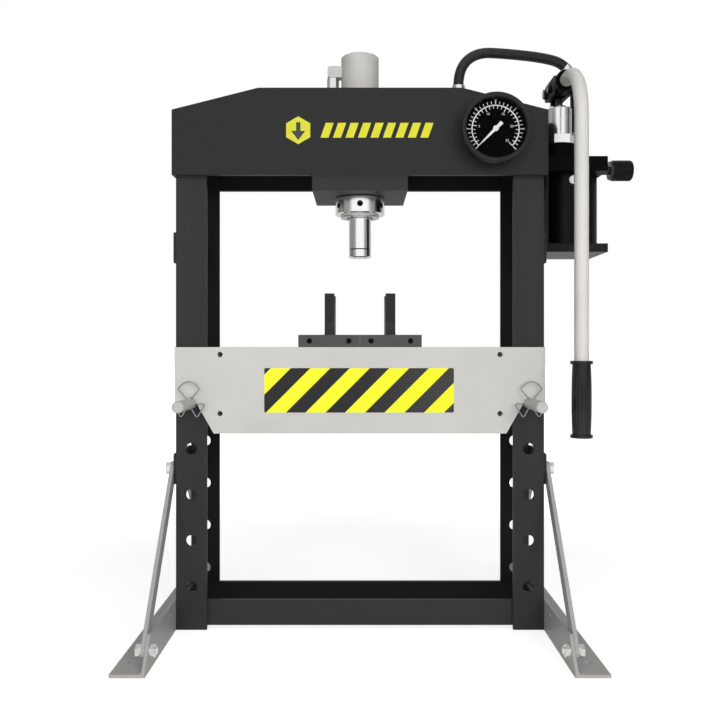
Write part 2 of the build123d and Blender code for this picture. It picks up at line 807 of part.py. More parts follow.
def gauge_case():
    """The gauge's cup, with the stem that screws into the manifold."""
    r = gauge_case_d / 2
    floor = gauge_back_y - gauge_back
    stem = stem_d / 2
    stem_end = gauge_back_y + stem_length
    points = [(0, stem_end), (stem, stem_end), (stem, gauge_back_y), (r - gauge_back, gauge_back_y)]
    points += [(r, floor), (r, gauge_front_y), (r - gauge_wall, gauge_front_y)]
    points += [(r - gauge_wall, floor), (0, floor)]
    return facing_front(points)


def gauge_bezel():
    """The ring that holds the glass on the case."""
    r = bezel_d / 2
    case = gauge_case_d / 2 + thread_clear
    lip = gauge_case_d / 2 - gauge_wall
    glass_front = gauge_front_y - glass_thick
    front = glass_front - bezel_lip
    points = [(lip, front + bezel_edge), (lip + bezel_edge, front)]
    points += [(r - bezel_edge, front), (r, front + bezel_edge)]
    points += [(r, front + bezel_lip + bezel_skirt), (case, front + bezel_lip + bezel_skirt)]
    points += [(case, glass_front), (lip, glass_front)]
    return facing_front(points)


def gauge_dial():
    """The dial plate on its hub, with a hole for the pointer's shaft."""
    r = gauge_case_d / 2 - gauge_wall - dial_edge_clear
    hole = pointer_shaft_d / 2 + pointer_shaft_clear
    back = gauge_back_y - gauge_back
    points = [(hole, dial_y), (r, dial_y), (r, dial_y + dial_thick), (dial_hub_r, dial_y + dial_thick)]
    points += [(dial_hub_r, back), (hole, back)]
    return facing_front(points)


def gauge_pointer():
    """The pointer, resting on zero at the lower left, on its shaft."""
    tail, waist, tip = pointer_tail_width / 2, pointer_width / 2, pointer_tip_width / 2
    low = dial_y - pointer_gap
    outline = [(-pointer_tail, -tail), (-pointer_tail, tail), (-pointer_waist, waist)]
    outline += [(pointer_reach, tip), (pointer_reach, -tip), (-pointer_waist, -waist)]
    face = make_face(Polyline([(x, 0, z) for x, z in outline], close=True))
    blade = extrude(face, pointer_thick, dir=(0, 1, 0))
    blade += along_y(0, -pointer_hub_rise, pointer_thick, 0, pointer_hub_d)
    blade = Pos(gauge_x, low, gauge_z) * Rot(0, 135, 0) * blade
    back = gauge_back_y - gauge_back - pointer_end_gap
    return blade + along_y(gauge_x, low, back, gauge_z, pointer_shaft_d)


keep("gauge_case", gauge_case())
keep("gauge_bezel", gauge_bezel())
glass_d = gauge_case_d - 2 * thread_clear
keep("gauge_glass", along_y(gauge_x, gauge_front_y - glass_thick, gauge_front_y, gauge_z, glass_d))
keep("gauge_dial", gauge_dial())
keep("gauge_pointer", gauge_pointer())


# ---- pump ----
def pump_bracket():
    """The welded bracket on the right-hand column: a back plate and a shelf."""
    y = (-pump_side_y, pump_side_y)
    back = block((frame_side, pump_left), y, (pump_base_z, head_top))
    return back + block((frame_side, pump_right), y, (pump_base_z, tank_bottom))


def oil_tank():
    """The tank: a tube clamped between the bracket's shelf and the head."""
    tank = along_z(pump_mid, 0, tank_bottom, head_bottom, tank_d)
    tank -= along_z(pump_mid, 0, tank_bottom - 1, head_bottom + 1, tank_d - 2 * tank_wall)
    return tank - along_y(filler_x, -tank_d, 0, filler_z, filler_d + 2 * thread_clear)


def pump_head():
    """The valve block on top of the tank."""
    y = (-pump_side_y, pump_side_y)
    head = block((pump_left, pump_right), y, (head_bottom, head_top))
    middle = (head_bottom + head_top) / 2
    return head - along_x(pump_right - spindle_in, pump_right + 1, 0, middle, spindle_d + 2 * pin_clear)


def filler_screw():
    """The cross-slotted screw that closes the filling hole."""
    seat = -tank_d / 2 - filler_seat_clear
    head = along_y(filler_x, seat - filler_head, seat, filler_z, filler_head_d)
    front = head.edges().filter_by(GeomType.CIRCLE).group_by(Axis.Y)[0]
    head = fillet(front, filler_round)
    reach = filler_slot_length / 2
    deep = (seat - filler_head - 1, seat - filler_head + filler_slot_depth)
    for x, z in ((reach, filler_slot / 2), (filler_slot / 2, reach)):
        head -= block((filler_x - x, filler_x + x), deep, (filler_z - z, filler_z + z))
    return head + along_y(filler_x, seat - 1, seat + filler_length, filler_z, filler_d)


def barrel_base():
    """The cast seat of the pump's barrel."""
    base = along_z(barrel_x, 0, head_top, barrel_nut_bottom, barrel_base_d)
    low = head_top + barrel_floor
    return base - along_z(barrel_x, 0, low, barrel_nut_bottom + 1, plunger_d + 2 * oil_gap)


def barrel_nut():
    """The hexagon at the barrel's foot."""
    nut = hexagon_along_z(barrel_x, 0, barrel_nut_bottom, barrel_bottom, barrel_nut_af)
    return nut - along_z(barrel_x, 0, barrel_nut_bottom - 1, barrel_bottom + 1, plunger_d + 2 * oil_gap)


def pump_barrel():
    """The bored steel barrel that the plunger slides in."""
    barrel = along_z(barrel_x, 0, barrel_bottom, barrel_top, barrel_d)
    barrel = chamfer(barrel.edges().filter_by(GeomType.CIRCLE).group_by(Axis.Z)[-1], barrel_chamfer)
    bore = plunger_d + 2 * plunger_clear
    return barrel - along_z(barrel_x, 0, barrel_bottom - 1, barrel_top + 1, bore)


def pump_plunger():
    """The plunger, whose slotted eye lets the pin swing on its arc."""
    eye_low = pivot_z - eye_height / 2
    eye = block((barrel_x - eye_width / 2, barrel_x + eye_width / 2), (-eye_front, eye_back),
                (eye_low, eye_low + eye_height))
    eye = fillet(eye.edges().filter_by(Axis.X), eye_round)
    front = slot_height / 2
    slot = block((barrel_x - eye_width, barrel_x + eye_width), (0, slot_back),
                 (pivot_z - front, pivot_z + front))
    for y in (0, slot_back):
        slot += along_x(barrel_x - eye_width, barrel_x + eye_width, y, pivot_z, slot_height)
    rod = along_z(barrel_x, 0, eye_low + 1 - plunger_length, eye_low + 1, plunger_d)
    return eye + rod - slot


def fulcrum_post():
    """The post behind the barrel that carries the lever's pin."""
    x = (barrel_x - post_width / 2, barrel_x + post_width / 2)
    y = (fulcrum_y - post_depth / 2, fulcrum_y + post_depth / 2)
    post = block(x, y, (head_top, pivot_z))
    post += along_x(x[0], x[1], fulcrum_y, pivot_z, post_eye_d)
    hole = fulcrum_pin_d + 2 * pin_clear
    return post - along_x(x[0] - 1, x[1] + 1, fulcrum_y, pivot_z, hole)


def rocker_arm():
    """The cast lever: two cheeks round the plunger and the post, and a socket for the handle."""
    eye = Pos(fulcrum_y, pivot_z) * Circle(cheek_end_r)
    root = Pos(-socket_back - cheek_root_in, socket_z - cheek_root_drop) * Circle(cheek_root_r)
    profile = make_hull(eye.edges() + root.edges())
    plane = Plane(origin=(0, 0, 0), x_dir=(0, 1, 0), z_dir=(1, 0, 0))
    inner = cheek_gap / 2
    arm = along_y(barrel_x, -socket_front, -socket_back, socket_z, socket_d)
    arm = chamfer(arm.edges().filter_by(GeomType.CIRCLE).group_by(Axis.Y)[0], socket_chamfer)
    for low in (-inner - cheek_thick, inner):
        arm += Pos(barrel_x + low, 0, 0) * (plane * extrude(profile, cheek_thick))
    bore_d = handle_d + 2 * handle_fit
    arm -= along_y(barrel_x, -socket_front - 1, -socket_back - socket_wall_back, socket_z, bore_d)
    wide = inner + cheek_thick + 1
    for y, d in ((fulcrum_y, fulcrum_pin_d), (0, plunger_pin_d)):
        arm -= along_x(barrel_x - wide, barrel_x + wide, y, pivot_z, d + 2 * thread_clear)
    return arm


def lever_pins():
    """The headed fulcrum pin and the plunger's pin, both held in the lever."""
    wide = cheek_gap / 2 + cheek_thick
    pins = []
    for y, d in ((fulcrum_y, fulcrum_pin_d), (0, plunger_pin_d)):
        pin = along_x(barrel_x - wide - 1, barrel_x + wide + lever_pin_stub, y, pivot_z, d)
        head_end = barrel_x - wide - lever_pin_head
        head = hexagon_along_x(head_end, barrel_x - wide, y, pivot_z, d + lever_pin_head)
        pins.append(pin + head)
    return pins


def handle_tube():
    """The bent handle: out of the socket, round and straight down."""
    start = -socket_back - socket_wall_back - handle_end_gap
    points = [(barrel_x, start, socket_z), (barrel_x, -handle_out_y, socket_z)]
    points += [(barrel_x, -handle_out_y, grip_bottom_z + grip_end)]
    path = FilletPolyline(*points, radius=handle_bend)
    ring = Circle(handle_d / 2) - Circle(handle_d / 2 - handle_wall)
    return sweep(Plane(origin=path @ 0, z_dir=path % 0) * ring, path)


def handle_grip():
    """The moulded grip: swollen in the middle, flanged and fluted."""
    top = grip_bottom_z + grip_length
    bore = handle_d / 2 + thread_clear
    r, flange = grip_d / 2, grip_flange_d / 2
    low, high = grip_bottom_z + grip_flange, top - grip_flange
    middle = (low + high) / 2
    side = ThreePointArc((r - grip_swell, 0, low), (r, 0, middle), (r - grip_swell, 0, high))
    lower = Polyline((r - grip_swell, 0, low), (flange, 0, low), (flange, 0, grip_bottom_z),
                     (0, 0, grip_bottom_z), (0, 0, grip_bottom_z + grip_end),
                     (bore, 0, grip_bottom_z + grip_end), (bore, 0, top), (flange, 0, top),
                     (flange, 0, high), (r - grip_swell, 0, high))
    grip = revolve(make_face(side + lower), Axis.Z)
    for i in range(grip_flutes):
        angle = 2 * pi * i / grip_flutes
        x, y = (r + flute_out) * cos(angle), (r + flute_out) * sin(angle)
        grip -= along_z(x, y, low + flute_inset, high - flute_inset, flute_d)
    return Pos(barrel_x, -handle_out_y, 0) * grip


def release_spindle():
    """The release valve's spindle, with the collar that backs the knob."""
    z = (head_bottom + head_top) / 2
    inside = pump_right - spindle_in + spindle_end_gap
    collar = inside + spindle_length
    spindle = along_x(inside, collar, 0, z, spindle_d)
    spindle += along_x(collar, collar + spindle_flange, 0, z, spindle_flange_d)
    return spindle + along_x(collar, collar + spindle_flange + spindle_tip, 0, z, spindle_tip_d)


def release_knob():
    """The fluted knob on the spindle, with a domed end."""
    z = (head_bottom + head_top) / 2
    start = pump_right - spindle_in + spindle_end_gap + spindle_length + spindle_flange
    knob = along_x(start, start + knob_length, 0, z, knob_d)
    knob = fillet(knob.edges().filter_by(GeomType.CIRCLE).group_by(Axis.X)[-1], knob_dome)
    for i in range(knob_flutes):
        angle = 2 * pi * (i + 0.5) / knob_flutes
        y, dz = knob_flute_at * cos(angle), knob_flute_at * sin(angle)
        knob -= along_x(start + knob_flute_d, start + knob_length + 1, y, z + dz, knob_flute_d)
    return knob - along_x(start - 1, start + spindle_tip, 0, z, spindle_tip_d + 2 * thread_clear)


keep("pump_bracket", pump_bracket())
keep("oil_tank", oil_tank())
keep("pump_head", pump_head())
keep("filler_screw", filler_screw())
keep("barrel_base", barrel_base())
keep("barrel_nut", barrel_nut())
keep("pump_barrel", pump_barrel())
keep("pump_plunger", pump_plunger())
keep("fulcrum_post", fulcrum_post())
keep("rocker_arm", rocker_arm())
keep("lever_pins", *lever_pins())
keep("handle_tube", handle_tube())
keep("handle_grip", handle_grip())
keep("release_spindle", release_spindle())
keep("release_knob", release_knob())


# ---- bed ----
def bed_plate():
    """The bed's side plate: a ledge and half-round seats over the pins, sloping to the bottom."""
    half = column_out + bed_past_column
    ledge = column_mid - bed_ledge_in
    points = [(half, bed_top), (half, bed_pin_z), (ledge, bed_pin_z), (ledge - bed_slant, bed_bottom)]
    points += [(-x, z) for x, z in reversed(points)]
    face = make_face(Polyline([(x, 0, z) for x, z in points], close=True))
    plate = extrude(face, bed_thick, dir=(0, 1, 0))
    for side in (-1, 1):
        seat = pin_d + 2 * pin_rest_clear
        plate -= along_y(side * column_mid, -1, bed_thick + 1, bed_pin_z, seat)
        for z in spacer_heights:
            plate -= along_y(side * spacer_x, -1, bed_thick + 1, z, spacer_hole_d)
    return plate


def bed_spacers():
    """Tubes welded between the bed plates."""
    tubes = []
    for side in (-1, 1):
        for z in spacer_heights:
            tube = along_y(side * spacer_x, -bed_inner_y, bed_inner_y, z, spacer_d)
            tubes.append(tube - along_y(side * spacer_x, -bed_y, bed_y, z, spacer_hole_d))
    return tubes


def bed_pin(side):
    """A plain round pin through both bars and under both bed plates, slotted for its clip."""
    pin = along_y(side * column_mid, -bed_y - pin_front, bed_y + pin_rear, bed_pin_z, pin_d)
    pin = chamfer(pin.edges().filter_by(GeomType.CIRCLE), pin_chamfer)
    x, half = side * column_mid, pin_slot_length / 2 - pin_slot_width / 2
    y = -bed_y - clip_in_front
    low, high = bed_pin_z - pin_d, bed_pin_z + pin_d
    pin -= block((x - half, x + half), (y - pin_slot_width / 2, y + pin_slot_width / 2), (low, high))
    for end in (-half, half):
        pin -= along_z(x + end, y, low, high, pin_slot_width)
    return pin


def spring_clip(side):
    """A bent wire clip: a wide bow above the pin, legs that cross inside it, and a hooked end."""
    out, leg, low = clip_leg_offset, pin_d / 2, -clip_drop
    inward = [(leg + 2, out, 0), (clip_arm, out, 0), (clip_half, out, low), (-clip_cross, out, leg)]
    bow = [(-bow_half, out, bow_side_top), (0, 0, bow_top), (bow_half, -out, bow_side_top)]
    outward = [(clip_cross, -out, leg), (-clip_half, -out, low), (-clip_half - clip_hook, -out, -leg)]
    centre = Vector(side * column_mid, -bed_y - clip_in_front, bed_pin_z)
    points = [centre + Vector(-side * x, y, z) for x, y, z in inward + bow + outward]
    path = FilletPolyline(*points, radius=clip_bends)
    return sweep(Plane(origin=path @ 0, z_dir=path % 0) * Circle(clip_wire_d / 2), path)


def v_block(side):
    """A V-block: a base on the bed and an upright with a right-angled notch."""
    base_top = bed_top + v_base_height
    base = block((v_gap, v_gap + v_base_length), (-v_base_y, v_base_y), (bed_top, base_top))
    top = base_top + v_upright_height
    half = v_upright_depth / 2
    points = [(-half, base_top - 1), (half, base_top - 1), (half, top), (v_notch_depth, top)]
    points += [(0, top - v_notch_depth), (-v_notch_depth, top), (-half, top)]
    face = make_face(Polyline([(v_upright_in, y, z) for y, z in points], close=True))
    part = base + extrude(face, v_upright_thick, dir=(1, 0, 0))
    z = bed_top + v_base_height / 2
    for x in (v_gap + v_hole_inset, v_gap + v_base_length - v_hole_inset):
        part -= along_y(x, -v_base_y - 1, v_hole_depth - v_base_y, z, v_hole_d)
    return part if side > 0 else mirror(part, Plane.YZ)


spacer_heights = (bed_top - spacer_top_inset, bed_top - spacer_top_inset - spacer_pitch_z)
keep("bed_plate_front", Pos(0, -bed_y, 0) * bed_plate())
keep("bed_plate_rear", Pos(0, bed_inner_y, 0) * bed_plate())
keep("bed_spacers", *bed_spacers())
for label, side in (("left", -1), ("right", 1)):
    keep(f"bed_pin_{label}", bed_pin(side))
    keep(f"spring_clip_{label}", spring_clip(side))
    keep(f"v_block_{label}", v_block(side))

os.makedirs("parts", exist_ok=True)
for name, shape in nodes.items():
    export_step(shape, f"parts/{name}.step")
print(len(nodes), "nodes")
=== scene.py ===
from math import cos, pi, radians, sin

import bpy
import numpy as np
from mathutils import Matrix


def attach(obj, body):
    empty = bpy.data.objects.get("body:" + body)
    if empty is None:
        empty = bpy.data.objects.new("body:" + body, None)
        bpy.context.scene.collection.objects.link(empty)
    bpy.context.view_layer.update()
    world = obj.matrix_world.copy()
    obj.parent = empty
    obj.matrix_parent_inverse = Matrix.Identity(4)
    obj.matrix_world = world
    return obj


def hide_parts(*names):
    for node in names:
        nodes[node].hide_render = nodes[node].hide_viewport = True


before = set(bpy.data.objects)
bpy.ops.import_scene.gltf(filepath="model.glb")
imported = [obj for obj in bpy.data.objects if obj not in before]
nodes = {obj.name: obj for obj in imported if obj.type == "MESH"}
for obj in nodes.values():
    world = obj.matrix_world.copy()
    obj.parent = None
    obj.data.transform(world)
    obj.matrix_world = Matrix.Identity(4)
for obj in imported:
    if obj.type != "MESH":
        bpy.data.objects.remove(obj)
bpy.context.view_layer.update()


# ---- studio ----
# The press stands on a pale seamless floor in a white room, with one large soft box to the left
# of the operator, one to the right and one overhead. The eye is level with the bed's top edge.
camera = bpy.data.objects.new("camera", bpy.data.cameras.new("camera"))
camera.location = (0.0, -1.486, 0.462)
camera.rotation_euler = (pi / 2, 0.0, 0.0)
camera.data.lens = 43.5
camera.data.sensor_width = 36.0
camera.data.shift_y = -0.01875
bpy.context.scene.collection.objects.link(camera)
bpy.context.scene.camera = camera
bpy.context.scene.view_settings.view_transform = "Standard"


class Value:
    """A number inside a material: arithmetic on it adds the material's Math nodes."""

    def __init__(self, finish, socket):
        self.finish = finish
        self.socket = socket

    def __add__(self, other):
        return self.finish.maths("ADD", self, other)

    def __sub__(self, other):
        return self.finish.maths("SUBTRACT", self, other)

    def __rsub__(self, other):
        return self.finish.maths("SUBTRACT", other, self)

    def __mul__(self, other):
        return self.finish.maths("MULTIPLY", self, other)

    def __mod__(self, other):
        return self.finish.maths("FLOORED_MODULO", self, other)

    def __lt__(self, other):
        return self.finish.maths("LESS_THAN", self, other)

    def __abs__(self):
        return self.finish.maths("ABSOLUTE", self)

    __radd__ = __add__
    __rmul__ = __mul__


class Finish:
    """One procedural finish. Its place is the object's own coordinates, in metres."""

    def __init__(self, name, tree=None, **settings):
        if tree is None:
            self.material = bpy.data.materials.new(name)
            self.material.use_nodes = True
            tree = self.material.node_tree
            self.shader = tree.nodes["Principled BSDF"]
            for socket, value in settings.items():
                self.shader.inputs[socket.replace("_", " ")].default_value = value
        self.tree = tree

    def node(self, kind, settings, inputs, output=0):
        """Adds a node, with its settings first and then its sockets' values or links."""
        new = self.tree.nodes.new("ShaderNode" + kind)
        for name, value in settings.items():
            setattr(new, name, value)
        for name, value in inputs.items():
            self.join(value, new.inputs[name])
        return Value(self, new.outputs[output])

    def join(self, value, socket):
        """Links a value to a socket, or sets the socket to a plain number or colour."""
        if isinstance(value, Value):
            self.tree.links.new(value.socket, socket)
        elif hasattr(socket.default_value, "__len__"):
            size = len(socket.default_value)
            socket.default_value = (*value, 1.0)[:size]
        else:
            socket.default_value = value

    def feed(self, socket, value):
        """Links a value to one of the shader's own sockets."""
        self.join(value, self.shader.inputs[socket])

    def maths(self, kind, *values):
        return self.node("Math", {"operation": kind}, dict(enumerate(values)))

    def place(self, stretch=(1.0, 1.0, 1.0)):
        """The point on the object, with each axis stretched."""
        point = self.node("TexCoord", {}, {}, "Object")
        return self.node("VectorMath", {"operation": "MULTIPLY"}, {0: point, 1: stretch})

    def axis(self, name):
        """One coordinate of the point on the object."""
        return self.node("SeparateXYZ", {}, {0: self.place()}, name)

    def noise(self, scale, detail=2.0, stretch=(1.0, 1.0, 1.0)):
        """Cloudy noise round 0, from about -0.3 to 0.3, with a grain of 1 / scale metres."""
        inputs = {"Vector": self.place(stretch), "Scale": scale, "Detail": detail}
        return self.node("TexNoise", {}, inputs) - 0.5

    def step(self, value, low, high):
        """0 below low and 1 above high, with a smooth rise between them."""
        inputs = {"Value": value, "From Min": low, "From Max": high}
        return self.node("MapRange", {"interpolation_type": "SMOOTHSTEP"}, inputs)

    def shade(self, colour, amount):
        """A colour made lighter or darker by a number that varies."""
        return self.node("VectorMath", {"operation": "SCALE"}, {0: colour, "Scale": amount})

    def mix(self, factor, first, second):
        """The first colour where factor is 0 and the second where it is 1."""
        inputs = {0: factor, 6: first, 7: second}
        return self.node("Mix", {"data_type": "RGBA"}, inputs, 2)

    def relief(self, height, depth, edge=0.0):
        """Relief of the given depth in metres, on corners softened to the given radius."""
        inputs = {"Height": height, "Distance": depth, "Strength": 1.0}
        if edge:
            inputs["Normal"] = self.node("Bevel", {"samples": 4}, {"Radius": edge})
        self.feed("Normal", self.node("Bump", {}, inputs))


def lay_floor():
    """A flat pale floor, faintly mottled, that fades into the white room further off."""
    mesh = bpy.data.meshes.new("floor")
    half = 20.0
    corners = [(-half, -half, 0), (half, -half, 0), (half, half, 0), (-half, half, 0)]
    mesh.from_pydata(corners, [], [(0, 1, 2, 3)])
    floor = bpy.data.objects.new("floor", mesh)
    bpy.context.scene.collection.objects.link(floor)
    paper = Finish("studio_paper", Roughness=0.9, Specular_IOR_Level=0.1, Emission_Strength=1.0)
    tone = 1.0 + 0.02 * paper.noise(6)
    paper.feed("Base Color", paper.shade((0.93, 0.93, 0.93), tone))
    seen = paper.node("LightPath", {}, {}, "Is Camera Ray")
    mirrored = paper.node("LightPath", {}, {}, "Is Glossy Ray")
    away = paper.node("VectorMath", {"operation": "LENGTH"}, {0: paper.place()}, "Value")
    glow = 0.05 + 0.65 * seen + 0.35 * seen * paper.step(away, 0.6, 1.6) + 0.4 * mirrored
    paper.feed("Emission Color", paper.shade((1.0, 1.0, 1.0), glow))
    mesh.materials.append(paper.material)


def light_room():
    """A white room: metal mirrors a bright box in front, a dark strip right and light behind."""
    world = bpy.data.worlds.new("room")
    bpy.context.scene.world = world
    world.use_nodes = True
    background = world.node_tree.nodes["Background"].inputs
    room = Finish("room", world.node_tree)
    way = room.node("TexCoord", {}, {}, "Generated")
    x, y, z = (room.node("SeparateXYZ", {}, {0: way}, i) for i in range(3))
    bearing = room.maths("ARCTAN2", x, 0 - y)
    front_box = room.step(abs(bearing), 0.95, 0.55)
    dark_strip = room.step(abs(bearing - 1.46), 0.22, 0.12)
    behind = room.step(abs(bearing), 2.1, 2.6)
    above = room.step(z, 0.35, 0.8)
    mirrored = 0.32 + 0.72 * front_box + 0.4 * behind + 0.15 * above - 0.28 * dark_strip
    soft = 0.005 + 0.12 * room.step(0 - y, 0.5, 0.95) + 0.2 * above
    seen = room.node("LightPath", {}, {}, "Is Camera Ray")
    glossy = room.node("LightPath", {}, {}, "Is Glossy Ray")
    glow = soft + glossy * (mirrored - soft)
    room.join(glow + seen * (1.0 - glow), background["Strength"])
    background["Color"].default_value = (1, 1, 1, 1)
    lit_point = np.array([0.0, 0.0, 0.5])
    for name, place, size, power in (
        ("soft_box_left", (-0.7, -3.2, 0.95), 1.8, 32.0),
        ("soft_box_right", (1.2, -3.1, 1.15), 1.2, 34.0),
        ("soft_box_top", (0.2, -0.7, 2.9), 2.0, 8.0),
    ):
        lamp = bpy.data.lights.new(name, "AREA")
        lamp.shape = "SQUARE"
        lamp.size = size
        lamp.energy = power
        box = bpy.data.objects.new(name, lamp)
        box.location = place
        box.visible_glossy = False
        aim = lit_point - place
        across = np.hypot(aim[0], aim[1])
        box.rotation_euler = (np.arctan2(across, -aim[2]), 0.0, np.arctan2(-aim[0], aim[1]))
        bpy.context.scene.collection.objects.link(box)


lay_floor()
light_room()


# ---- pressure hose ----
# A steel-braided rubber hose, 17.5 mm over its cover, that carries oil from the hand pump over the
# beam's shoulder to the gauge block. Each end is crimped in a steel sleeve above a hexagon.
hose_route = [
    (0.168, 0.0, 0.906),
    (0.168, 0.0, 0.936),
    (0.199, 0.004, 0.966),
    (0.254, 0.014, 0.9665),
    (0.318, 0.031, 0.9655),
    (0.357, 0.042, 0.959),
    (0.378, 0.045, 0.928),
    (0.379, 0.045, 0.88),
    (0.379, 0.045, 0.836),
]
hose_d = 0.0175
band_height = 0.95
band_rise = 0.0014
sleeve_radius = 0.0113


def coat(finish, *names):
    """Gives CAD nodes a finish."""
    for name in names:
        nodes[name].material_slots[0].material = finish.material


def shell(points, loop=False):
    """Vertices and triangles of a closed surface through a (rows, columns, 3) grid of points.

    Each row closes on itself. The first and last rows get a fan to their middle, unless 'loop'
    joins them to each other. If the volume that the surface encloses, summed over its triangles
    as a . (b x c), is negative, the triangles are turned round, so that they face outwards.
    """
    rows, columns = points.shape[:2]
    index = np.arange(rows * columns).reshape(rows, columns)
    index = np.hstack([index, index[:, :1]])
    if loop:
        index = np.vstack([index, index[:1]])
    a, b, c, d = index[:-1, :-1], index[1:, :-1], index[1:, 1:], index[:-1, 1:]
    triangles = [np.stack([a, b, c], -1).reshape(-1, 3), np.stack([a, c, d], -1).reshape(-1, 3)]
    corners = points.reshape(-1, 3)
    if not loop:
        middles = points[[0, -1]].mean(1)
        hub = np.full(columns, len(corners))
        triangles.append(np.stack([index[0, :-1], index[0, 1:], hub], -1))
        triangles.append(np.stack([index[-1, 1:], index[-1, :-1], hub + 1], -1))
        corners = np.vstack([corners, middles])
    triangles = np.vstack(triangles)
    p, q, r = (corners[triangles[:, i]] for i in range(3))
    if np.einsum("ij,ij->", p, np.cross(q, r)) < 0:
        triangles = triangles[:, ::-1]
    return corners, triangles


def add(name, shells, finish, body):
    """Makes one piece from shells, smooth except across corners sharper than 35 degrees."""
    start = np.cumsum([0] + [len(corners) for corners, _ in shells])
    corners = np.vstack([corners for corners, _ in shells])
    faces = np.vstack([triangles + start[i] for i, (_, triangles) in enumerate(shells)])
    mesh = bpy.data.meshes.new(name)
    mesh.from_pydata(corners, [], faces)
    mesh.shade_smooth()
    mesh.set_sharp_from_angle(angle=radians(35))
    mesh.materials.append(finish.material)
    piece = bpy.data.objects.new(name, mesh)
    bpy.context.scene.collection.objects.link(piece)
    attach(piece, body)
    return piece


def carried(path, radius, columns, first=(0.0, 0.0, 1.0)):
    """A round profile carried along a path: path + radius * (cos a * n1 + sin a * n2).

    n1 is the part of 'first' that is square to the path, and n2 is square to both. The radius is
    one number, or an array with one for each point and angle.
    """
    along = np.gradient(path, axis=0)
    along /= np.linalg.norm(along, axis=1, keepdims=True)
    n1 = first - along * (along @ np.array(first))[:, None]
    n1 /= np.linalg.norm(n1, axis=1, keepdims=True)
    n2 = np.cross(along, n1)
    a = np.linspace(0, 2 * pi, columns, endpoint=False)
    ring = np.cos(a)[None, :, None] * n1[:, None] + np.sin(a)[None, :, None] * n2[:, None]
    return path[:, None] + np.broadcast_to(radius, (len(path), columns))[..., None] * ring


def rubber_finish(name, colour, roughness):
    """Moulded rubber: a dull black with bloom in patches and the print of the curing wrap."""
    rubber = Finish(name, Specular_IOR_Level=0.4)
    bloom = rubber.noise(35, 4)
    rubber.feed("Base Color", rubber.shade(colour, 1.0 + 0.9 * bloom))
    rubber.feed("Roughness", roughness + 0.25 * bloom)
    wrap = rubber.noise(1.0, 2, (900, 900, 2600)) + 0.6 * rubber.noise(1400)
    rubber.relief(wrap, 0.00012)
    return rubber


def make_hose():
    """The hose as one smooth line through its route, with the bright band near its top bend."""
    curve = bpy.data.curves.new("hose", "CURVE")
    curve.dimensions = "3D"
    curve.resolution_u = 16
    curve.bevel_resolution = 8
    spline = curve.splines.new("NURBS")
    spline.points.add(len(hose_route) - 1)
    for point, place in zip(spline.points, hose_route):
        point.co = (*place, 1.0)
    spline.order_u = 3
    spline.use_endpoint_u = True
    hose = bpy.data.objects.new("hose_line", curve)
    bpy.context.scene.collection.objects.link(hose)
    line = bpy.data.meshes.new_from_object(hose)
    path = np.array([v.co for v in line.vertices])
    curve.bevel_depth = hose_d / 2
    curve.materials.append(hose_rubber.material)
    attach(hose, "frame")
    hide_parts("hose")
    at = np.argmin(np.abs(path[:, 2] - band_height) + (path[:, 0] < 0.3))
    centre = path[at - 3 : at + 4]
    swell = np.array([0.0, 0.9, 1.0, 1.0, 1.0, 0.9, 0.0]) * band_rise
    band = carried(centre, (hose_d / 2 - 0.0004 + swell)[:, None], 32)
    ring = add("hose_band", [shell(band)], bright_steel, "frame")


def turned_finish(name, colour, roughness, stretch, depth=0.00005):
    """Machined metal: fine tool lines across the stretched axis, and faint handling stains."""
    metal = Finish(name, Metallic=1.0)
    lines = metal.noise(1.0, 3, stretch)
    stain = metal.noise(45, 3)
    metal.feed("Base Color", metal.shade(colour, 1.0 + 0.25 * lines + 0.2 * stain))
    metal.feed("Roughness", roughness + 0.25 * lines + 0.15 * stain)
    metal.relief(lines, depth, 0.0004)
    return metal


def crimped_sleeve(x, y, low, high, radius):
    """A crimped sleeve: radius * (1 - dent * |cos 4a|), dented between its two plain rims."""
    z = np.linspace(low, high, 25)
    a = np.linspace(0, 2 * pi, 64, endpoint=False)
    share = (z - low) / (high - low)
    dent = 0.045 * np.clip(np.minimum(share, 1 - share) * 9 - 0.6, 0, 1)
    r = radius * (1 - dent[:, None] * np.abs(np.cos(4 * a)))
    centre = np.full_like(r, x), np.full_like(r, y), np.broadcast_to(z[:, None], r.shape)
    return shell(np.stack([centre[0] + r * np.cos(a), centre[1] + r * np.sin(a), centre[2]], -1))


hose_rubber = rubber_finish("hose_rubber", (0.014, 0.014, 0.0145), 0.42)
bright_steel = turned_finish("bright_steel", (0.85, 0.85, 0.86), 0.22, (30, 30, 2200))
make_hose()
sleeves = [
    crimped_sleeve(*hose_route[0][:2], 0.873, 0.9065, sleeve_radius),
    crimped_sleeve(*hose_route[-1][:2], 0.7915, 0.8365, sleeve_radius),
]
add("hose_sleeves", sleeves, bright_steel, "frame")
coat(bright_steel, "hose_fittings")


# ---- welded frame ----
# Two columns of paired flat bars under a beam of two thick plates, tied at the ends by welded
# plates and at the foot by two crossbars. Laser-cut steel, MIG welded, powder coated charcoal.
def paint_finish(name, colour, roughness, grain, gloss=0.4, painted_shade=None):
    """Baked powder paint: a mottled tone, an orange-peel skin and softened corners.

    The last argument, if given, is a function of the finish that paints shade into the paint: how
    light it is at each place.
    """
    paint = Finish(name, Specular_IOR_Level=gloss)
    cloud = paint.noise(7, 3)
    speck = paint.noise(750, 3)
    tone = 1.0 + 0.25 * cloud + grain * speck
    paint.feed("Base Color", paint.shade(colour, tone * painted_shade(paint) if painted_shade else tone))
    paint.feed("Roughness", roughness + 0.15 * cloud + 0.2 * speck)
    paint.relief(paint.noise(380, 1) + 0.5 * speck, 0.0002, 0.0011)
    return paint


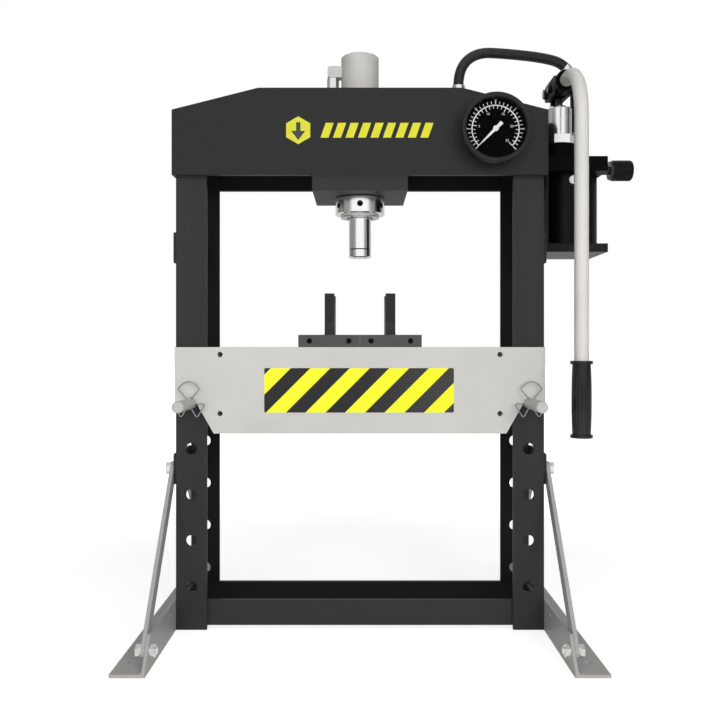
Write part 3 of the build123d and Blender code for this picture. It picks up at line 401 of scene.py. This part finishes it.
def bead(path, crown, radius=0.0028):
    """A weld bead carried along a path, its crown towards 'crown'.

    The radius swells once every 2.3 mm, and the swell comes later at the crown than at the toes,
    so each ripple is a crescent. Both ends taper to a third.
    """
    path = np.asarray(path, float)
    run = np.concatenate([[0], np.cumsum(np.linalg.norm(np.diff(path, axis=0), axis=1))])
    s = np.arange(0, run[-1], 0.0006)
    path = np.stack([np.interp(s, run, path[:, i]) for i in range(3)], 1)
    a = np.linspace(0, 2 * pi, 10, endpoint=False)
    turn = 2 * pi * (s[:, None] + 0.0009 * np.cos(a)) / 0.0023
    ripple = 1 + 0.07 * np.sin(turn) + 0.05 * np.sin(0.37 * turn)
    taper = np.clip(np.minimum(s, run[-1] - s) / 0.003, 0.1, 1) ** 0.5
    return shell(carried(path, radius * ripple * taper[:, None], 10, crown))


def ring_bead(centre, radius, plane, crown, size=0.0022):
    """A weld bead round a circle in a plane given by its two axes."""
    a = np.linspace(0, 2 * pi, 120)
    u, v = (np.array(axis, float) for axis in plane)
    circle = np.array(centre) + radius * (np.cos(a)[:, None] * u + np.sin(a)[:, None] * v)
    return bead(circle, crown, size)


def frame_painted_shade(paint):
    """Painted shade on the frame: inner and rear faces much darker, and the beam a little darker.
    """
    x, y, z = (paint.axis(letter) for letter in "XYZ")
    crossbar = 0.04 * paint.step(z, 0.16, 0.15)
    inside = paint.step(abs(x), 0.276, 0.274) * paint.step(y - crossbar, -0.07, -0.06)
    support = paint.step(z, 0.6, 0.61) * paint.step(abs(x), 0.08, 0.078)
    beam = paint.step(z, 0.73, 0.74)
    return (1 - 0.85 * inside * (1 - support)) * (1 - 0.3 * beam)


# The frame's paint carries painted shade on its inner and rear faces and on the beam.
frame_paint = paint_finish(
    "frame_paint", (0.034, 0.034, 0.0344), 0.52, 0.5, gloss=0.22, painted_shade=frame_painted_shade
)
coat(
    frame_paint,
    "column_left",
    "column_right",
    "beam_plate_front",
    "beam_plate_rear",
    "column_tie_plates",
    "lower_crossbars",
    "cylinder_support_plate",
)
beam_bottom = 0.74
plate_inner = 0.068
bar_inner = 0.06
crossbar_top = 0.0465
frame_welds = []
for side in (-1, 1):
    for face in (-1, 1):
        inner, outer = side * 0.251, side * 0.299
        plate_y, bar_y = face * plate_inner, face * bar_inner
        beam_foot = [(inner, plate_y, beam_bottom), (outer, plate_y, beam_bottom)]
        frame_welds.append(bead(beam_foot, (0, face, -1)))
        bar_back = [(inner, bar_y, crossbar_top), (outer, bar_y, crossbar_top)]
        frame_welds.append(bead(bar_back, (0, -face, 1)))
        bar_side = [(side * 0.25, bar_y, 0.008), (side * 0.25, bar_y, 0.044)]
        frame_welds.append(bead(bar_side, (-side, face, 0)))
        end = side * 0.0775
        plate_end = [(end, face * 0.069, beam_bottom), (end, face * 0.077, beam_bottom)]
        frame_welds.append(bead(plate_end, (side, 0, -1)))
        for tie_bottom in (0.599, 0.2365):
            low, high = tie_bottom + 0.007, tie_bottom + 0.043
            tie_edge = [(side * 0.3, face * 0.064, low), (side * 0.3, face * 0.064, high)]
            frame_welds.append(bead(tie_edge, (side, face, 0)))
for face in (-1, 1):
    support_edge = [(x, face * plate_inner, beam_bottom) for x in (-0.076, 0.076)]
    frame_welds.append(bead(support_edge, (0, -face, 1), 0.004))
add("frame_welds", frame_welds, frame_paint, "frame")


# ---- beam mark ----
# A plain yellow decal on the beam: an arrow in a hexagon that points down at the work, and a row
# of slanted bars. Cut vinyl, a tenth of a millimetre thick, lacquered over.
def vinyl_finish(name, colour):
    """Cut vinyl: an even colour with a fine calendered grain."""
    vinyl = Finish(name, Specular_IOR_Level=0.5, Coat_Roughness=0.15)
    grain = vinyl.noise(1200, 2)
    vinyl.feed("Base Color", vinyl.shade(colour, 1.0 + 0.12 * vinyl.noise(30, 3) + 0.05 * grain))
    vinyl.feed("Roughness", 0.35 + 0.2 * grain)
    vinyl.feed("Coat Weight", 0.3 + 0.3 * vinyl.noise(20))
    vinyl.relief(grain, 0.00004)
    return vinyl


def cut_sheet(outline, back, thick):
    """A flat sheet cut to a convex outline of (x, z) points, facing the front."""
    x, z = np.array(outline, float).T
    rows = [np.stack([x, np.full_like(x, y), z], 1) for y in (back, back - thick)]
    return shell(np.array(rows))


mark_yellow = vinyl_finish("mark_yellow", (0.80, 0.78, 0.02))
mark_back = -0.078
mark_middle = (-0.1, 0.812)
hexagon_radius = 0.0225
vinyl_thick = 0.0001
turns = [0.5 * pi + i * pi / 3 for i in range(6)]
hexagon = [
    (mark_middle[0] + hexagon_radius * cos(a), mark_middle[1] + hexagon_radius * sin(a))
    for a in turns
]
marks = [cut_sheet(hexagon, mark_back, vinyl_thick)]
for i in range(9):
    left = -0.064 + 0.0202 * i
    slant = [(left, 0.8), (left + 0.013, 0.8), (left + 0.0215, 0.824), (left + 0.0085, 0.824)]
    marks.append(cut_sheet(slant, mark_back, vinyl_thick))
add("beam_mark", marks, mark_yellow, "frame")
mark_black = vinyl_finish("mark_black", (0.03, 0.03, 0.03))
shaft = [(-0.1035, 0.811), (-0.0965, 0.811), (-0.0965, 0.825), (-0.1035, 0.825)]
point = [(-0.1, 0.796), (-0.0885, 0.811), (-0.1115, 0.811)]
arrow = [cut_sheet(shape, mark_back - vinyl_thick, vinyl_thick) for shape in (shaft, point)]
add("beam_mark_arrow", arrow, mark_black, "frame")


# ---- feet and braces ----
# Rolled steel angles screwed to the columns' outer faces, and flat braces bolted between them and
# the columns with zinc-plated M10 bolts. Feet and braces are powder coated a warm light grey.
def zinc_finish(name, colour):
    """Bright zinc plate: a faint blue and straw bloom, and fine drawn lines."""
    zinc = Finish(name, Metallic=1.0)
    bloom = zinc.step(zinc.noise(140, 3), -0.15, 0.2)
    straw = tuple(part * tint for part, tint in zip(colour, (1.04, 0.99, 0.88)))
    grain = zinc.noise(900, 3)
    zinc.feed("Base Color", zinc.mix(bloom, colour, straw))
    zinc.feed("Roughness", 0.27 + 0.25 * grain + 0.1 * bloom)
    zinc.relief(grain, 0.00006, 0.0004)
    return zinc


def thread(start, axis, radius, length, pitch):
    """A screw thread along X: the radius falls by 0.6 of the pitch as a triangle wave.

    The wave's phase is the distance along the axis over the pitch, less the angle over a turn.
    """
    s = np.arange(0, length, pitch / 6)
    a = np.linspace(0, 2 * pi, 24, endpoint=False)
    phase = (s[:, None] / pitch - a / (2 * pi)) % 1
    r = radius - 0.6 * pitch * np.abs(2 * phase - 1)
    x = start[0] + axis * np.broadcast_to(s[:, None], r.shape)
    return shell(np.stack([x, start[1] + r * np.cos(a), start[2] + r * np.sin(a)], -1))


foot_paint = paint_finish("foot_paint", (0.5, 0.49, 0.468), 0.46, 0.1)
coat(foot_paint, "foot_left", "foot_right", "braces_left", "braces_right")
zinc_plate = zinc_finish("zinc_plate", (0.78, 0.79, 0.81))
coat(zinc_plate, "foot_screws", "brace_bolts", "brace_washers", "brace_nuts")
m10_radius = 0.00515
m10_pitch = 0.0015
bolt_ends = []
for side in (-1, 1):
    for face in (-1, 1):
        for y, z in ((0.245, 0.028), (0.0495, 0.2615)):
            start = (side * 0.2925, face * y, z)
            bolt_ends.append(thread(start, -side, m10_radius, 0.0034, m10_pitch))
add("brace_bolt_threads", bolt_ends, zinc_plate, "frame")


# ---- cylinder and ram ----
# A honed steel tube whose shoulder sits on the support plate, pulled down by a round nut that has
# holes for a hook spanner. The hard-chromed rod carries a loose pressure pad.
def chrome_finish(name, colour, roughness, groove_low, groove_high, nut_middle, nut_radius):
    """Hard chrome, nearly a mirror, with faint rings, and painted shade in the pad's groove and
    the nut's spanner holes.
    """
    chrome = Finish(name, Metallic=1.0)
    rings = chrome.noise(1.0, 2, (8, 8, 1500))
    haze = chrome.noise(60, 3)
    x, y, height = (chrome.axis(letter) for letter in "XYZ")
    edge = 0.0002
    # painted shade: the pressure pad's groove and the ring nut's spanner holes are darkened
    groove_shade = chrome.step(height, groove_low - edge, groove_low)
    groove_shade = groove_shade * chrome.step(height, groove_high + edge, groove_high)
    off = x * x + y * y
    hole_shade = chrome.step(off, 0.97 * nut_radius**2, 0.95 * nut_radius**2)
    hole_shade = hole_shade * chrome.step(off, 0.5 * nut_radius**2, 0.55 * nut_radius**2)
    hole_shade = hole_shade * chrome.step(abs(height - nut_middle), 0.0065, 0.006)
    tone = (1.0 + 0.06 * rings + 0.05 * haze) * (1 - 0.85 * groove_shade) * (1 - 0.9 * hole_shade)
    chrome.feed("Base Color", chrome.shade(colour, tone))
    chrome.feed("Roughness", roughness + 0.08 * rings + 0.08 * haze)
    chrome.relief(rings, 0.00001, 0.0004)
    return chrome


cylinder_paint = paint_finish("cylinder_paint", (0.7, 0.69, 0.66), 0.42, 0.1)
coat(cylinder_paint, "cylinder_tube", "cylinder_end_cap", "port_elbow")
cap_weld = ring_bead((0, 0, 0.952), 0.025, ((1, 0, 0), (0, 1, 0)), (0, 0, 1))
add("cylinder_cap_weld", [cap_weld], cylinder_paint, "frame")
chrome = chrome_finish(
    "hard_chrome",
    (0.92, 0.91, 0.9),
    0.16,
    groove_low=0.626,
    groove_high=0.628,
    nut_middle=0.7,
    nut_radius=0.042,
)
coat(chrome, "ring_nut", "ram_rod", "pressure_pad")
machined = turned_finish("machined_steel", (0.6, 0.6, 0.6), 0.28, (20, 20, 3000))
coat(machined, "gland_ring", "piston")
seal_rubber = rubber_finish("seal_rubber", (0.02, 0.02, 0.02), 0.5)
coat(seal_rubber, "rod_wiper", "piston_seal")
spring_steel = turned_finish("spring_steel", (0.5, 0.5, 0.52), 0.25, (600, 600, 600))
coat(spring_steel, "return_spring")


# ---- oil line ----
# Cold-drawn steel pipe from the gauge block round the cylinder to its elbow, held by a union nut
# at each end. The gauge block is sawn bar, painted with the frame.
coat(bright_steel, "feed_pipe")
coat(zinc_plate, "pipe_nuts")
coat(frame_paint, "gauge_manifold")


# ---- pressure gauge ----
# A 100 mm gauge in a black steel case. The dial is a black plate with two white printed scales,
# read through flat glass, and the pointer is painted white.
def moulded_finish(name, colour, roughness, grain=1600, gloss=0.4):
    """Moulded plastic or stoved black: a spark-eroded grain and a slightly uneven sheen."""
    plastic = Finish(name, Specular_IOR_Level=gloss)
    skin = plastic.noise(grain, 2)
    sheen = plastic.noise(40, 3)
    plastic.feed("Base Color", plastic.shade(colour, 1.0 + 0.5 * sheen + 0.3 * skin))
    plastic.feed("Roughness", roughness + 0.2 * sheen + 0.15 * skin)
    plastic.relief(skin, 0.00008, 0.0006)
    return plastic


def glass_finish(name):
    """Flat gauge glass: clear face on, brighter at a glancing angle, faintly wiped."""
    glass = Finish(name, Specular_IOR_Level=0.6)
    glass.feed("Base Color", (0.01, 0.011, 0.012))
    glass.feed("Roughness", 0.04 + 0.1 * glass.step(glass.noise(70, 4), 0.0, 0.3))
    edge = glass.node("LayerWeight", {}, {"Blend": 0.2}, "Facing")
    glass.feed("Alpha", 0.3 * edge)
    return glass


gauge_middle = (0.2155, 0.808)
dial_face_y = -0.103
print_thick = 0.00015


def dial_strip(radius, width, start, end, steps):
    """A printed arc: radius out or in by half the width, from one angle to another."""
    a = np.radians(np.linspace(start, end, steps))
    out, back = radius + width / 2, radius - width / 2
    profile = [(out, 0), (out, -print_thick), (back, -print_thick), (back, 0)]
    r, y = np.array(profile).T
    x = gauge_middle[0] + r * np.cos(a)[:, None]
    z = gauge_middle[1] + r * np.sin(a)[:, None]
    return shell(np.stack([x, dial_face_y + np.broadcast_to(y, x.shape), z], -1))


def dial_number(text, radius, angle, size):
    """A number on the dial, set upright with its middle at a radius and an angle."""
    words = bpy.data.curves.new("number", "FONT")
    words.body = text
    words.size = size
    words.align_x = "CENTER"
    words.align_y = "CENTER"
    words.extrude = print_thick / 2
    words.resolution_u = 3
    holder = bpy.data.objects.new("number", words)
    mesh = bpy.data.meshes.new_from_object(holder)
    mesh.calc_loop_triangles()
    flat = np.array([v.co for v in mesh.vertices])
    a = radians(angle)
    x = gauge_middle[0] + radius * cos(a) + flat[:, 0]
    z = gauge_middle[1] + radius * sin(a) + flat[:, 1]
    faces = np.array([t.vertices for t in mesh.loop_triangles])
    bpy.data.objects.remove(holder)
    return np.stack([x, dial_face_y - print_thick / 2 - flat[:, 2], z], 1), faces


gauge_black = moulded_finish("gauge_black", (0.02, 0.02, 0.021), 0.45, 700, 0.2)
coat(gauge_black, "gauge_case", "gauge_bezel")
coat(moulded_finish("dial_black", (0.0015, 0.0014, 0.0014), 0.5, 900, 0.03), "gauge_dial")
white_paint = moulded_finish("white_paint", (0.95, 0.95, 0.94), 0.45, 900)
coat(white_paint, "gauge_pointer")
coat(glass_finish("gauge_glass"), "gauge_glass")
zero_angle, full_angle = 225, -45
scale = [dial_strip(0.0375, 0.0017, zero_angle, full_angle, 91)]
for steps, foot, way, long_mark, short_mark in (
    (30, 0.0394, 1, (0.0062, 1.7), (0.0045, 1.4)),
    (25, 0.0366, -1, (0.0066, 2.0), (0.0044, 1.6)),
):
    for i in range(steps + 1):
        angle = zero_angle + (full_angle - zero_angle) * i / steps
        reach, wide = short_mark if i % 5 else long_mark
        middle = foot + way * reach / 2
        scale.append(dial_strip(middle, reach, angle - wide / 2, angle + wide / 2, 2))
add("dial_scale", scale, white_paint, "frame")
numbers = []
for steps, radius, size in ((6, 0.0455, 0.0038), (5, 0.0262, 0.0056)):
    for i in range(steps + 1):
        angle = zero_angle + (full_angle - zero_angle) * i / steps
        numbers.append(dial_number(str(5 * i), radius, angle, size))
add("dial_numbers", numbers, white_paint, "frame")


def dome(centre, radius, rise, axis):
    """A shallow dome: points at radius * sin t round the axis, rise * cos t above its foot."""
    t = np.linspace(0.02, pi / 2, 8)
    a = np.linspace(0, 2 * pi, 32, endpoint=False)
    u, v = np.roll(np.eye(3), 1, axis=0)[axis], np.roll(np.eye(3), 2, axis=0)[axis]
    out = np.eye(3)[axis] * rise
    ring = radius * (np.cos(a)[:, None] * u + np.sin(a)[:, None] * v)
    wide, high = np.sin(t)[:, None, None], np.cos(t)[:, None, None]
    return shell(np.array(centre) + wide * ring + high * out)


add(
    "pointer_hub",
    [dome((gauge_middle[0], -0.108, gauge_middle[1]), 0.0036, -0.0012, 1)],
    white_paint,
    "pointer",
)


# ---- hand pump ----
# A two-stage hand pump: a gloss black tank clamped between a welded bracket and a valve block,
# and a bored steel barrel whose plunger is driven by a cast rocker on a post.
def cast_finish(name, colour, roughness):
    """Painted casting: sand grain under the paint, with thin spots that catch the light."""
    cast = Finish(name, Specular_IOR_Level=0.03)
    sand = cast.noise(420, 4)
    cloud = cast.noise(30, 3)
    cast.feed("Base Color", cast.shade(colour, 1.0 + 0.8 * cloud + 0.5 * sand))
    cast.feed("Roughness", roughness + 0.3 * sand)
    cast.relief(sand + 0.5 * cloud, 0.0005, 0.0014)
    return cast


def enamel_finish(name, colour):
    """Gloss enamel over drawn sheet: long shallow ripples under a hard clear skin."""
    enamel = Finish(name, Specular_IOR_Level=0.12, Coat_Roughness=0.2)
    ripple = enamel.noise(60, 2)
    dust = enamel.noise(1100, 2)
    enamel.feed("Base Color", enamel.shade(colour, 1.0 + 0.4 * ripple + 0.4 * dust))
    enamel.feed("Roughness", 0.38 + 0.2 * dust)
    enamel.feed("Coat Weight", 0.06 + 0.1 * ripple)
    enamel.relief(ripple + 0.05 * dust, 0.0002)
    return enamel


cast_black = cast_finish("cast_black", (0.0035, 0.0035, 0.0037), 0.42)
coat(cast_black, "pump_head", "barrel_base", "fulcrum_post", "rocker_arm")
bracket_paint = paint_finish("bracket_paint", (0.003, 0.003, 0.0031), 0.36, 0.4, gloss=0.25)
coat(bracket_paint, "pump_bracket")
coat(enamel_finish("tank_enamel", (0.003, 0.003, 0.003)), "oil_tank")
coat(zinc_plate, "filler_screw")
barrel_steel = turned_finish("barrel_steel", (0.88, 0.88, 0.88), 0.22, (20, 20, 2500), 0.00003)
coat(barrel_steel, "pump_barrel", "barrel_nut")
black_steel = turned_finish("black_steel", (0.05, 0.05, 0.052), 0.3, (900, 900, 900))
coat(black_steel, "pump_plunger", "lever_pins", "release_spindle")
pump_welds = [
    bead([(0.305, -0.058, 0.617), (0.305, 0.058, 0.617)], (1, 0, -1)),
    bead([(0.309, -0.06, 0.631), (0.309, 0.06, 0.631)], (1, 0, 1), 0.0024),
]
for face in (-1, 1):
    plate_side = [(0.305, face * 0.0615, z) for z in (0.742, 0.772)]
    pump_welds.append(bead(plate_side, (1, face, 0)))
add("bracket_welds", pump_welds, bracket_paint, "frame")
post_foot = [(0.3335, 0.028), (0.3465, 0.028), (0.3465, 0.04), (0.3335, 0.04), (0.3335, 0.028)]
post_weld = bead([(x, y, 0.774) for x, y in post_foot], (0, 0, 1), 0.0022)
add("post_weld", [post_weld], cast_black, "frame")
pin_end_x = 0.3575
pivot_height = 0.902
pin_ends = [
    thread((pin_end_x, 0.034, pivot_height), 1, m10_radius, 0.004, m10_pitch),
    thread((pin_end_x, 0.0, pivot_height), 1, 0.00415, 0.004, 0.00125),
]
add("lever_pin_threads", pin_ends, black_steel, "lever")


# ---- pump handle and release valve ----
# The handle is drawn tube, bent once and pushed into the rocker's socket, painted light grey,
# with a fluted rubber grip. The release valve's fluted knob is moulded on its spindle.
coat(paint_finish("handle_paint", (0.82, 0.8, 0.765), 0.36, 0.08), "handle_tube")
coat(moulded_finish("grip_plastic", (0.004, 0.004, 0.0043), 0.2, 1300, 0.45), "handle_grip")
coat(moulded_finish("knob_plastic", (0.005, 0.005, 0.0053), 0.34, 1500, 0.12), "release_knob")


# ---- bed, pins and clips ----
# Two plates welded to four spacer tubes and laid on plain steel pins that cross the columns. Each
# pin is kept by a bent wire clip. The plates are powder coated light grey.
def pin_finish(name, colour):
    """Plain drawn bar in light grey paint, rubbed where the plates bear on it."""
    pin = Finish(name, Specular_IOR_Level=0.5)
    worn = pin.step(pin.noise(1.0, 4, (60, 12, 60)) + 0.4 * pin.noise(500), 0.16, 0.26)
    bearing = pin.step(pin.axis("Y"), -0.085, -0.075) * worn
    paint = pin.shade(colour, 1.0 + 0.3 * pin.noise(300))
    pin.feed("Base Color", pin.mix(bearing, paint, (0.5, 0.5, 0.5)))
    pin.feed("Metallic", bearing)
    pin.feed("Roughness", 0.4 + 0.2 * pin.noise(400))
    pin.relief(pin.noise(1.0, 2, (200, 1800, 200)), 0.00006, 0.0008)
    return pin


bed_paint = paint_finish("bed_paint", (0.7, 0.69, 0.66), 0.46, 0.09)
coat(bed_paint, "bed_plate_front", "bed_plate_rear", "bed_spacers")
spacer_weld_radius = 0.0104
bed_welds = []
for side in (-1, 1):
    for face in (-1, 1):
        for z in (0.449, 0.3534):
            middle = (side * 0.227, face * 0.0688, z)
            plane = ((1, 0, 0), (0, 0, 1))
            bed_welds.append(ring_bead(middle, spacer_weld_radius, plane, (0, -face, 0), 0.002))
add("bed_welds", bed_welds, bed_paint, "bed")
pin_steel = pin_finish("pin_steel", (0.6, 0.59, 0.565))
clip_wire = turned_finish("clip_wire", (0.36, 0.36, 0.365), 0.3, (900, 900, 900))
for label in ("left", "right"):
    coat(pin_steel, f"bed_pin_{label}")
    coat(clip_wire, f"spring_clip_{label}")


# ---- hazard stripe ----
# A reflective film on the front plate: black bars at 45 degrees on yellow, over a honeycomb of
# glass-bead cells. A painted sheen to the right brings out the honeycomb there, and the yellow has
# a painted glow.
def stripe_finish(name):
    """Slanted bars from x less z, modulo their pitch, and a honeycomb from two offset grids, under
    a painted sheen and a painted glow.
    """
    film = Finish(name, Specular_IOR_Level=0.25, Coat_Roughness=0.1, Emission_Strength=1.0)
    x, z = film.axis("X"), film.axis("Z")
    pitch = 0.064
    bar_start = 1.083
    bar = ((x - z + bar_start) % pitch) * (1 / pitch)
    black = film.step(bar, 0.495, 0.505) * film.step(bar, 1.0, 0.99)
    cell = 0.0042
    tall = cell * 3**0.5

    def from_centre(shift_x, shift_z):
        dx = abs((x + shift_x + 9 * cell) % cell - cell / 2)
        dz = abs((z + shift_z) % tall - tall / 2)
        return film.maths("MAXIMUM", dx, 0.5 * dx + 0.866 * dz), dx * dx + dz * dz

    first, near_first = from_centre(0.0, 0.0)
    second, near_second = from_centre(cell / 2, tall / 2)
    pick = near_first < near_second
    out = pick * first + (1 - pick) * second
    wall = film.step(out, 0.36 * cell, 0.46 * cell)
    # painted sheen: towards the right the honeycomb walls darken the yellow and the black bars
    # turn lighter
    painted_sheen = film.step(x, -0.02, 0.14)
    yellow = film.shade((0.83, 0.80, 0.02), 1.0 - 0.12 * painted_sheen * wall + 0.1 * film.noise(25))
    dark = film.mix(painted_sheen * (1 - wall), (0.016, 0.016, 0.0165), (0.06, 0.06, 0.06))
    film.feed("Base Color", film.mix(black, yellow, dark))
    # painted glow: the yellow gives off light of its own, so the film looks brightly lit
    film.feed("Emission Color", film.mix(black, (0.26, 0.28, 0.01), (0.0, 0.0, 0.0)))
    film.feed("Roughness", 0.3 + 0.15 * wall + 0.1 * film.noise(200))
    film.feed("Coat Weight", 0.2 - 0.1 * wall)
    film.relief(1 - wall, 0.00004)
    return film


def rounded_sheet(low, high, corner, back, thick):
    """A sheet with round corners: each corner is a quarter circle of nine points."""
    outline = []
    for i, (x, z) in enumerate(((1, 1), (0, 1), (0, 0), (1, 0))):
        middle_x = (low[0] + corner, high[0] - corner)[x]
        middle_z = (low[1] + corner, high[1] - corner)[z]
        for a in np.linspace(i * pi / 2, (i + 1) * pi / 2, 9):
            outline.append((middle_x + corner * cos(a), middle_z + corner * sin(a)))
    return cut_sheet(outline, back, thick)


sticker = rounded_sheet((-0.155, 0.355), (0.152, 0.427), 0.002, -0.077, 0.00025)
add("hazard_stripe", [sticker], stripe_finish("hazard_film"), "bed")


# ---- V-blocks ----
# A pair of blocks flame-cut from plate and welded up, painted dark grey. They slide along the
# bed to suit the work.
def block_finish(name, base_colour, shaded_upright_colour, weld_top):
    """Powder paint with painted shade: the uprights darker than the base, and lighter again on
    their lowest 20 mm.
    """
    paint = Finish(name, Specular_IOR_Level=0.2)
    cloud = paint.noise(60, 3)
    speck = paint.noise(900, 3)
    height = paint.axis("Z")
    base = paint.shade(base_colour, 1.0 + 0.3 * cloud + 0.3 * speck)
    # painted shade: above the welds the uprights are dark, with a painted lighter band 20 mm high
    # at their foot
    shaded_upright = paint.shade(shaded_upright_colour, 1.0 + 0.3 * cloud + 0.3 * speck)
    from_weld = paint.step(height, weld_top - 0.001, weld_top)
    foot = paint.mix(from_weld, base, paint.shade(shaded_upright, 1.5))
    above = paint.step(height, weld_top + 0.02, weld_top + 0.021)
    paint.feed("Base Color", paint.mix(above, foot, shaded_upright))
    paint.feed("Roughness", 0.5 + 0.15 * cloud + 0.2 * speck)
    paint.relief(paint.noise(380, 1) + 0.5 * speck, 0.0002, 0.0008)
    return paint


block_paint = block_finish("block_paint", (0.09, 0.09, 0.091), (0.024, 0.024, 0.0245), 0.482)
coat(block_paint, "v_block_left", "v_block_right")
for side, label in ((-1, "left"), (1, "right")):
    foot = []
    for x, lean in ((0.0426, -1), (0.0586, 1)):
        line = [(side * x, y, 0.481) for y in (-0.0445, 0.0445)]
        foot.append(bead(line, (side * lean, 0, 1), 0.0014))
    add(f"v_block_welds_{label}", foot, block_paint, f"v_block_{label}")
